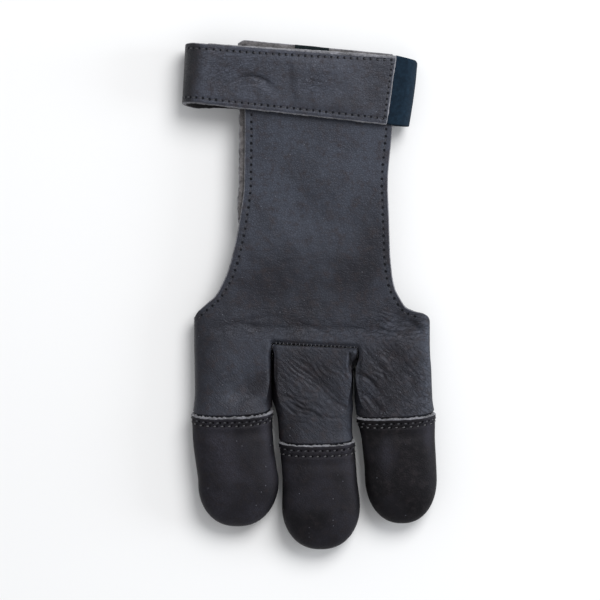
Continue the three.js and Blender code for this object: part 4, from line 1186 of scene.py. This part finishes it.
# Rows: share of the way to the wrist, then the share of that on the ring side and the index side
liningRows = [(0, -1.2, -1.2), (0.20, -0.5, -0.4), (0.31, -0.1, -0.2), (0.42, 0.9, -0.2), (0.60, 0.95, -0.2),
              (0.80, 0.95, -0.2), (1, 1, 0.1)]


def underHide(x, y, depth, step=0.5):
    # the hand's surface less depth * its normal, which is (-slope x, -slope y, 1) made one long
    slopeX = (handHeight(x + step, y) - handHeight(x - step, y)) / (2 * step)
    slopeY = (handHeight(x, y + step) - handHeight(x, y - step)) / (2 * step)
    length = np.sqrt(slopeX ** 2 + slopeY ** 2 + 1)
    return np.stack([x + depth * slopeX / length, y + depth * slopeY / length,
                     handHeight(x, y) - depth / length], axis=-1)


def makeLining():
    # mixed from side to side and from the shoulder to the top edge, a wall and a gap under the hide
    lowest = ringStall["shoulder"] + lining["show"]
    t = np.linspace(1, 0, lining["rows"])[:, None]
    u = (1 - np.cos(np.linspace(0, np.pi, lining["columns"]))) / 2

    def show(column, y):
        # a column of the table at a height * how far the lining shows
        return lining["show"] * readTable(liningRows, column, (y - lowest) / (panelLength - lowest))

    left = ringEdge(panelLength) - show(1, panelLength)
    top = liningTop(mix(left, indexEdge(panelLength), u)) - lining["lowered"]
    y = mix(lowest, top, t)
    wander = (lining["wander"] * softNoise(y, y * 0.3, lining["wanderSize"], 12)
              + lining["nick"] * softNoise(y, y, lining["nickSize"], 13))
    x = mix(ringEdge(y) - show(1, y) + wander, indexEdge(y) + show(2, y), u)
    corner = smooth(lining["cornerReach"], 0.0, x - left) * smooth(lining["cornerFrom"], 1.0, t)
    grid = underHide(x, y - lining["corner"] * corner ** 2, leather["hide"] + leather["clearance"])
    grid[..., 2] += lining["nap"] * softNoise(grid[..., 0], grid[..., 1], lining["napSize"], 17)
    solid, faces, kinds, _ = thickenGrid(grid, leather["lining"] - lining["nap"], bulge=lining["bulge"])
    makePiece("backLining", solid, faces, kinds, (suedeMaterial, suedeMaterial, rawMaterial), None,
              ("back_lining",))


makeLining()
print("lining made")


# The strap. Wrist pieces are made lying along x and then turned with it.

# Its length flat, how far the free end reaches, reach of the fold, height of the front leg, where
# the back leg ends, how far that slides to the fingers, and what the grain side leaves of the end
strap = {"span": 91.8, "reach": 37.0, "foldReach": 8.6, "top": 15.6, "backSeam": 6.0, "slide": 1.5,
         "rawEnd": 0.3, "backPoints": 40, "bendPoints": 40, "frontPoints": 220, "rows": 62, "bulge": 0.18,
         # seams: distance between needle holes along it and at the end, inset of the end seam
         "pitch": 2.6, "endPitch": 2.35, "endInset": 1.35, "endHalf": 10.8,
         # lean of the free end and of the fold, depth and half width of the rounded edges
         "endSkew": 0.045, "foldSkew": 0.04, "foldSkewFrom": -12, "edgeRound": 0.35, "edgeWidth": 0.6,
         # height and size of the noise on the raw edges, and how far those show past the grain side
         "wear": 0.16, "wearSize": 2.2, "wearSlow": 0.14, "wearSlowSize": 9.0, "topWear": 0.6,
         "lowRaw": 0.40, "endRaw": 0.65, "endWear": 1.4}
# Its long edges. Rows: place along it, top of the grain side, outer edge, stitch line, then the
# bottom of the grain side and the stitch line
strapEdgeRows = [(-46, 11.25, 11.45, 9.4, 12.0, 10.2), (-24, 11.6, 12.15, 9.65, 12.4, 10.55),
                 (-5, 11.9, 12.75, 10.2, 12.7, 10.8), (16, 12.15, 13.35, 11.05, 13.1, 11.1),
                 (37, 12.85, 13.75, 12.1, 13.45, 11.5)]
rowInsets = np.array([0, 0.15, 0.4, 0.8, 1.3, 1.6, 1.9, 2.2, 2.6, 3.2])  # close rows by each edge
# The oval dent: middle, bend, how far it falls off above and below, depth and half length
dent = {"x": -18.2, "y": 0.45, "bend": 0.043, "above": 0.85, "below": 4.6, "depth": 1.35, "length": 7.0}
# The swelling over the fastener and the small pucker on it, ripples, and the sunk stitch lines
swelling = {"height": 0.5, "start": (-4.2, -0.6), "end": (30, 20), "sides": (11.5, 6.0),
            "pucker": 0.07, "puckerX": 7.0, "puckerLength": 6.0, "puckerWidth": 4.5}
strapRipple = {"height": 0.09, "size": 9.0, "fine": 0.035, "fineSize": 3.0, "sewn": 0.30, "sewnWidth": 1.3}
# Tone: painted sheen, bright at the fold's side and a little less past each step, with random tone from
# noise; painted shade round the fold; and patches of painted highlight and painted shade
strapTone = {"bright": 1.05, "middle": 0.2, "end": 0.22, "noise": 0.2, "noiseSize": 30.0, "fold": -1.2}
strapPatches = [(-16.3, -3.0, 5.5, 1.9, 0.5, -8), (-30.0, -4.2, 6.0, 3.0, -0.5, 0),
                (-2.6, 2.0, 6.5, 1.7, -0.5, 80), (18.0, -6.5, 7.5, 2.4, -0.5, 0),
                (7.5, 5.0, 7.0, 3.6, 0.2, 0), (7.5, -0.6, 5.0, 2.4, 0.25, 0),
                (5.0, -7.5, 6.0, 2.4, -0.35, -15), (26.0, 3.0, 4.0, 6.0, 0.2, 0)]


def strapPlace(points):
    # turned by the strap's tilt about its middle and moved to the wrist
    c, s = np.cos(wrist["tilt"]), np.sin(wrist["tilt"])
    x, y, z = points[..., 0], points[..., 1], points[..., 2]
    return np.stack([wrist["x"] + x * c + y * s, wrist["y"] - x * s + y * c, z], axis=-1)


def archAt(x):
    # the wrist's arch under a place of the strap, 0 past the arch's foot
    placed = x + wrist["x"]
    return np.where(np.abs(placed - hand["middle"]) < 0.75 * hand["width"], archOver(placed), 0)


def strapRelief(x, y):
    # how far the front is sunk: dent (exp(-u^4) * fall-off) - swelling + pucker (exp(-u^2 - v^2) *
    # cosine) + two noises + a bell along each stitch line
    u = x - dent["x"]
    bowed = y - dent["y"] + dent["bend"] * u * u
    falling = np.where(bowed > 0, np.exp(-np.maximum(bowed, 0) / dent["above"]),
                       1 - smooth(0, dent["below"], -bowed))
    sunk = dent["depth"] * np.exp(-(u / dent["length"]) ** 4) * falling
    pad = (-swelling["height"] * smooth(*swelling["start"], x + 0.25 * y) * smooth(*swelling["end"], x)
           * smooth(*swelling["sides"], np.abs(y + 0.5)))
    pucker = (swelling["pucker"] * np.cos(2.7 * y + 0.7 * x)
              * np.exp(-((x - swelling["puckerX"]) / swelling["puckerLength"]) ** 2
                       - (y / swelling["puckerWidth"]) ** 2))
    ripple = (strapRipple["height"] * softNoise(x, y, strapRipple["size"], 51)
              + strapRipple["fine"] * softNoise(x, y, strapRipple["fineSize"], 52))
    line = np.where(y > 0, readTable(strapEdgeRows, 3, x), readTable(strapEdgeRows, 5, x))
    sewn = strapRipple["sewn"] * bell(np.abs(y) - line, strapRipple["sewnWidth"])
    return sunk + pad + pucker + ripple + sewn


def strapWrinkling(x, y):
    # light wrinkles, as a sum of bells: round the dent, over the middle of the pad, by the free end
    return np.clip(0.2 + 0.6 * bell(x + 26, 17.0) * bell(y - 2, 8.0) + 0.7 * bell(x - 7, 7.0) * bell(y, 5.0)
                   + 0.4 * bell(x - 30, 8.0), 0, 1)


def strapRoute():
    # x and z along it: flat back leg, half an ellipse round the ring side, front leg over the arch;
    # and how many points come before the front leg
    foldX = -strap["span"] / 2 + strap["foldReach"]
    half = strap["top"] / 2
    end = strap["reach"] - strap["rawEnd"]
    back = [(x, 0.0) for x in np.linspace(strap["backSeam"], foldX, strap["backPoints"], endpoint=False)]
    turn = np.radians(np.linspace(-90, -270, strap["bendPoints"]))
    bend = list(zip(foldX + strap["foldReach"] * np.cos(turn), half + half * np.sin(turn)))
    front = [(x, strap["top"] + float(archAt(x))) for x in np.linspace(foldX, end, strap["frontPoints"])[1:]]
    return np.array(back + bend + front), len(back) + len(bend)


def strapRows():
    # rows across the strap from 1 to -1, close together by the raw edges and the stitch lines
    half = wrist["width"] / 2
    inner = half - 4
    return np.concatenate([half - rowInsets, np.linspace(inner, -inner, strap["rows"]),
                           -half + rowInsets[::-1]]) / half


def strapEdge(route, first, column):
    # a column of the edge table at each place of the route, the back leg as wide as the fold
    number = np.arange(len(route))
    return readTable(strapEdgeRows, column, np.where(number < first, strapEdgeRows[0][0], route[:, 0]))


def strapSurface(route, first, share):
    # y = slide + share * the edge's distance, share running from 1 at the top edge to -1 at the
    # bottom one; z = the route's - relief - a bell along each edge, on the front leg
    x, z = route[:, 0], route[:, 1]
    onBack = np.arange(len(route)) < first
    sliding = (1 - smooth(0, strap["top"], z)) * mix(1, 0.2, smooth(-41, -25, x))
    slide = -strap["slide"] * np.where(onBack, sliding, 0)
    y = slide + share * np.where(share > 0, strapEdge(route, first, 1), strapEdge(route, first, 4))
    front = np.where(onBack, smooth(0.75 * strap["top"], strap["top"], z), 1.0)
    x = np.broadcast_to(x, y.shape)
    skew = (strap["endSkew"] * y * smooth(25, 37, x)
            - strap["foldSkew"] * (y - strap["foldSkewFrom"]) * smooth(-30, -43, x))
    edgeGap = (1 - np.abs(share)) * wrist["width"] / 2
    endGap = np.where(onBack, farAway, strap["reach"] - strap["rawEnd"] - x)
    rounded = strap["edgeRound"] * (bell(edgeGap, strap["edgeWidth"]) + bell(endGap, strap["edgeWidth"]))
    return np.stack([x + skew, y, z - (strapRelief(x, y) + rounded) * front], axis=-1), y


def strapSeams(route, first, share, y):
    # distance off the nearest seam and phase along it: the two long seams, or the one at the end
    length = np.broadcast_to(lengthsAlong(route), y.shape)
    side = np.where(share > 0, strapEdge(route, first, 3) - share * strapEdge(route, first, 1),
                    strapEdge(route, first, 5) + share * strapEdge(route, first, 4))
    end = np.where(np.arange(len(route)) < first, farAway, strap["reach"] - strap["endInset"] - route[:, 0])
    end = np.broadcast_to(end, y.shape)
    useEnd = (np.abs(end) < np.abs(side)) & (np.abs(y) < strap["endHalf"])
    phase = np.where(useEnd, y / strap["endPitch"], length / strap["pitch"])
    return phase.reshape(-1), np.where(useEnd, end, side).reshape(-1)


def makeStrap():
    # the strap's surface with its wall inside, the inner edge moved out so that the cut edge shows
    route, first = strapRoute()
    share = strapRows()[:, None]
    grid, y = strapSurface(route, first, share)
    phase, off = strapSeams(route, first, share, y)
    wear = (strap["wear"] * softNoise(grid[..., 0], grid[..., 1], strap["wearSize"], 61)
            + strap["wearSlow"] * softNoise(grid[..., 0], grid[..., 1], strap["wearSlowSize"], 62))
    lip = np.zeros_like(grid)
    lip[0, :, 1] = strapEdge(route, first, 2) - strapEdge(route, first, 1) + strap["topWear"] * wear[0]
    lip[-1, :, 1] = -strap["lowRaw"] - wear[-1]
    lip[:, -1, 0] = strap["endRaw"] + strap["endWear"] * wear[:, -1]
    solid, faces, kinds, source = thickenGrid(grid, leather["strap"], lip, strap["bulge"])
    x, y = solid[:, 0], solid[:, 1]
    # painted sheen along the strap with random tone by noise, and painted highlight and shade patches;
    # painted shade round the fold below
    lit = (strapTone["bright"] - strapTone["middle"] * smooth(-14, 2, x)
           - strapTone["end"] * smooth(14, 26, x)
           + strapTone["noise"] * softNoise(x, y, strapTone["noiseSize"], 63) + patchTone(strapPatches, x, y))
    marks = {"seamPhase": phase[source], "seamOff": off[source],
             "toneAndPaintedLight": mix(strapTone["fold"], lit, smooth(-45, -38.5, x)),
             "wrinkled": strapWrinkling(x, y), "slanting": 0.4 * bell(x - 28, 9.0)}
    makePiece("wristStrap", strapPlace(solid), faces, kinds, (strapMaterial, fleshMaterial, rawMaterial),
              marks, ("wrist_strap",))


strapStitch = {"length": 1.5, "radius": 0.24, "proud": 0.02}
endStitch = {"length": 1.3, "radius": 0.24, "proud": 0.02}
# Sink of both kinds of row; points left out at the fold's start and the end; inset and half length
# of the end row, in stitches
strapRow = {"sink": 0.05, "endSink": 0.06, "foldPoints": 18, "endPoints": 6, "endInset": 0.1, "endHalf": 4.5}


def strapStitches():
    # rows along the two stitch lines and across the end, in step with the needle holes
    route, first = strapRoute()
    parts = []
    topShare = strapEdge(route, first, 3) / strapEdge(route, first, 1)
    bottomShare = -strapEdge(route, first, 5) / strapEdge(route, first, 4)
    start = first - strapRow["foldPoints"]
    for share in (topShare, bottomShare):
        grid, _ = strapSurface(route, first, share[None])
        path = grid[0][start:-strapRow["endPoints"]]
        path[:, 2] -= strapRow["sink"]
        before = lengthsAlong(route[:start + 1])[-1]
        points, tangent = resample(path, strap["pitch"], -before % strap["pitch"])
        parts.append(stitchesAt(points, tangent, np.cross(tangent, toWrist), **strapStitch))
    y = np.linspace(strapRow["endHalf"], -strapRow["endHalf"], 60) * strap["endPitch"]
    x = np.full_like(y, strap["reach"] - strap["endInset"] - strapRow["endInset"])
    z = strap["top"] + archAt(x) - strapRelief(x, y) - strapRow["endSink"]
    line = np.stack([x + strap["endSkew"] * y, y, z], axis=-1)
    points, tangent = resample(line, strap["endPitch"], strap["endPitch"] / 2)
    parts.append(stitchesAt(points, tangent, upward, **endStitch))
    points, faces = joinParts(parts)
    makePiece("strapStitches", strapPlace(points), faces, None, (darkThread,))


makeStrap()
strapStitches()
print("strap made")


# The elastic

# Reach of its bend and how far that stands out, how far it goes under the strap's end, the ramp
# over the strap's sewn end and the overlap on it
elastic = {"reach": 4.6, "out": 0.5, "hold": 12.0, "rampGap": 0.6, "ramp": 7.0, "overlap": 11.0, "rows": 41,
           # its two edges under the strap's end and past it, and where it comes out and rises
           "topUnder": 12.0, "lowUnder": -12.7, "top": 11.5, "low": -13.3, "comesOut": (-2.6, 0.8),
           "rises": (0.5, 7.0),
           # the upper edge's slope past the strap, and its rounded corner
           "slopeTop": 13.9, "slope": 0.136, "cornerReach": 1.3, "cornerDrop": 1.1,
           # lean of its lower part at the bend, and how far its edges cup
           "lean": 1.0, "leanFrom": 5, "leanSpan": 18.5, "leanPower": 1.5, "cup": 0.12, "bulge": 0.3}
elasticTop = hand["wristHeight"] + leather["clearance"] + leather["elastic"]
elasticFold = strap["span"] / 2 - elastic["reach"] + elastic["out"]


def elasticRoute():
    # x and z along it: over the arch, half an ellipse round the index side, flat under the wrist,
    # a cubic ramp and flat over the strap's end; and how many points come before the flat part
    half = elasticTop / 2
    start = strap["reach"] - elastic["hold"]
    front = [(x, elasticTop + float(archAt(x))) for x in np.linspace(start, elasticFold, 40, endpoint=False)]
    turn = np.radians(np.linspace(90, -90, 40))
    bend = list(zip(elasticFold + elastic["reach"] * np.cos(turn), half + half * np.sin(turn)))
    lift = leather["strap"] + leather["clearance"]
    foot = strap["backSeam"] + elastic["rampGap"]
    flat = [(x, 0.0) for x in np.linspace(elasticFold, foot + elastic["ramp"], 30)[1:-1]]
    ramp = [(foot + elastic["ramp"] * s, lift * (1 - float(smooth(0.2, 0.9, s))))
            for s in np.linspace(1, 0, 16)]
    tail = [(x, lift) for x in np.linspace(strap["backSeam"], strap["backSeam"] - elastic["overlap"], 14)[1:]]
    return np.array(front + bend + flat + ramp + tail), len(front) + len(bend)


def makeElastic():
    # y mixed between its lower and upper edge: as wide as the strap under its end, wider past it,
    # with a sloped upper edge and a corner of sqrt(1 - past^2); its edges cup by the sixth power
    route, flatFrom = elasticRoute()
    rows = np.linspace(1, -1, elastic["rows"])[:, None]
    alongX, alongZ = route[:, 0], route[:, 1]
    onFront = np.arange(len(route)) < flatFrom
    start, stop = elastic["comesOut"]
    out = smooth(strap["reach"] + start, strap["reach"] + stop, alongX)
    risen = smooth(*elastic["rises"], alongZ) * out
    past = (alongX - elasticFold - elastic["reach"] + elastic["cornerReach"]) / elastic["cornerReach"]
    sloped = (elastic["slopeTop"] - elastic["slope"] * (alongX - strap["reach"])
              - elastic["cornerDrop"] * (1 - np.sqrt(1 - np.clip(past, 0, 1) ** 2)))
    level = mix(elastic["topUnder"], elastic["top"], out)
    top = np.where(onFront, mix(level, sloped, risen), elastic["top"])
    low = np.where(onFront, mix(elastic["lowUnder"], elastic["low"], out), elastic["low"])
    y = mix(low, top, (rows + 1) / 2)
    below = np.clip((elastic["leanFrom"] - y) / elastic["leanSpan"], 0, 1) ** elastic["leanPower"]
    x = alongX - elastic["lean"] * below * smooth(strap["reach"], elasticFold, alongX)
    z = alongZ - elastic["cup"] * np.abs(rows) ** 6 * np.where(alongZ > elasticTop / 2, 1, -1)
    grid = np.stack([x, y, np.maximum(z, 0)], axis=-1)
    across = rows * wrist["width"] / 2
    weave = np.stack(np.broadcast_arrays(lengthsAlong(route), across), axis=-1).reshape(-1, 2)
    solid, faces, kinds, source = thickenGrid(grid, leather["elastic"], bulge=elastic["bulge"])
    makePiece("elasticBand", strapPlace(solid), faces, 0 * kinds, (elasticMaterial,), None,
              ("elastic_band",), weave[source])


makeElastic()
print("elastic made")


# The fastener between the strap and the hide

patch = {"length": 26, "width": 20, "gap": 1.2, "columns": 60, "rows": 44, "pile": 0.08, "pileSize": 1.2,
         "bulge": 0.1}


def makePatch():
    # a level rectangle over the arch, with noise for its pile
    end = strap["reach"] - elastic["hold"] - patch["gap"]
    x = np.linspace(end - patch["length"], end, patch["columns"])
    y = np.linspace(patch["width"] / 2, -patch["width"] / 2, patch["rows"])[:, None]
    z = (hand["wristHeight"] + leather["clearance"] + leather["patch"] + archAt(x)
         + patch["pile"] * softNoise(x, y, patch["pileSize"], 71))
    grid = np.stack(np.broadcast_arrays(x, y, z), axis=-1)
    solid, faces, kinds, _ = thickenGrid(grid, leather["patch"], bulge=patch["bulge"])
    makePiece("closurePatch", strapPlace(solid), faces, 0 * kinds, (patchMaterial,), None,
              ("closure_patch",))


makePatch()
print("fastener made")


# The woven tab over the lining's top edge

# Its ends along the edge, how far it is lowered, its slack round the lining, how far the fold goes
# over the edge, its front's places before the edge and its back's length, and its ripple
tab = {"right": 10.5, "left": -2.9, "columns": 44, "lowered": 0.45, "slack": 0.12, "over": 0.25,
       "front": (1.7, 1.4, 1.0), "frontLift": 0.1, "back": 8, "backPoints": 12, "bendPoints": 20,
       "ripple": 0.12, "rippleSize": 4.0, "wallShare": 0.7, "bulge": 0.3}


def makeTab():
    # a strip with a short front, a half circle over the edge and a longer back, along the arch
    edge = wrist["width"] / 2 + wrist["liningRise"] - tab["lowered"]
    centreZ = hand["wristHeight"] - leather["hide"] - leather["clearance"] - leather["lining"] / 2
    radius = leather["lining"] / 2 + tab["slack"] + leather["tab"] / 2
    centreY = edge - radius + tab["over"]
    turn = np.radians(np.linspace(90, -90, tab["bendPoints"]))
    lifted = (tab["frontLift"], 0, 0)
    front = [(edge - back, centreZ + radius + lift) for back, lift in zip(tab["front"], lifted)]
    bend = list(zip(centreY + radius * np.cos(turn), centreZ + radius * np.sin(turn)))
    back = [(y, centreZ - radius) for y in np.linspace(centreY - 0.5, edge - tab["back"], tab["backPoints"])]
    route = np.array(front + bend + back)
    x = np.linspace(tab["right"], tab["left"], tab["columns"])[:, None]
    ripple = tab["ripple"] * softNoise(x, route[:, 0], tab["rippleSize"], 81)
    grid = np.stack(np.broadcast_arrays(x, route[:, 0] + ripple, route[:, 1] + archAt(x)), axis=-1)
    weave = np.stack(np.broadcast_arrays(lengthsAlong(route), x), axis=-1).reshape(-1, 2)
    solid, faces, kinds, source = thickenGrid(grid, leather["tab"] * tab["wallShare"], bulge=tab["bulge"])
    makePiece("wovenTab", strapPlace(solid), faces, 0 * kinds, (tabMaterial,), None, ("size_tab",),
              weave[source])


makeTab()
print("tab made")


# Floor, light and camera. Lengths here are in metres, the camera's aim in glove millimetres.

floorLook = {"size": 6.0, "below": 0.0003, "colour": (0.86, 0.86, 0.86, 1), "roughness": 0.9, "specular": 0.1}
studio = {"sky": (0.97, 0.98, 1.0, 1), "skyStrength": 0.54,
          "key": {"place": (0.66, 0.98, 1.42), "size": 1.15, "power": 26.5, "colour": (1, 1, 1)},
          "side": {"place": (1.40, 0.05, 0.42), "size": 0.7, "power": 10, "colour": (0.90, 0.95, 1.0)}}
lens = {"distance": 2.4, "wide": 0.240, "sensor": 36, "aim": (-6.0, 18.0, 8.0)}


def makeFloor():
    # one square face just under the glove
    size = floorLook["size"]
    mesh = bpy.data.meshes.new("floor")
    corners = [(-size, -size, 0), (size, -size, 0), (size, size, 0), (-size, size, 0)]
    mesh.from_pydata(corners, [], [(0, 1, 2, 3)])
    floor = bpy.data.objects.new("floor", mesh)
    floor.location.z = -floorLook["below"]
    bpy.context.scene.collection.objects.link(floor)
    material, _, shader, _ = startMaterial("paleFloor", floorLook["roughness"], floorLook["specular"])
    shader.inputs["Base Color"].default_value = floorLook["colour"]
    mesh.materials.append(material)


def areaLight(name, settings):
    # a round soft light, turned to face the origin
    data = bpy.data.lights.new(name, "AREA")
    data.shape = "DISK"
    data.size = settings["size"]
    data.energy = settings["power"]
    data.color = settings["colour"]
    lamp = bpy.data.objects.new(name, data)
    lamp.location = settings["place"]
    lamp.rotation_euler = (-Vector(settings["place"])).to_track_quat("-Z", "Y").to_euler()
    bpy.context.scene.collection.objects.link(lamp)


def makeLightAndCamera():
    # a pale sky and two soft lights; a camera straight above its aim, whose focal length is
    # sensor * distance / width of the view
    world = bpy.data.worlds.new("studio")
    world.use_nodes = True
    sky = world.node_tree.nodes["Background"]
    sky.inputs["Color"].default_value = studio["sky"]
    sky.inputs["Strength"].default_value = studio["skyStrength"]
    bpy.context.scene.world = world
    areaLight("keySoftbox", studio["key"])
    areaLight("indexSideSoftbox", studio["side"])
    data = bpy.data.cameras.new("camera")
    data.sensor_width = lens["sensor"]
    data.lens = lens["sensor"] * lens["distance"] / lens["wide"]
    camera = bpy.data.objects.new("camera", data)
    aim = (np.array(lens["aim"]) + gloveOrigin) / perMetre
    camera.location = (aim[0], aim[1], aim[2] + lens["distance"])
    bpy.context.scene.collection.objects.link(camera)
    bpy.context.scene.camera = camera
    bpy.context.scene.view_settings.view_transform = "Standard"
    bpy.context.scene.view_settings.look = "None"


makeFloor()
makeLightAndCamera()
print("floor, light and camera set")

print("scene ready")
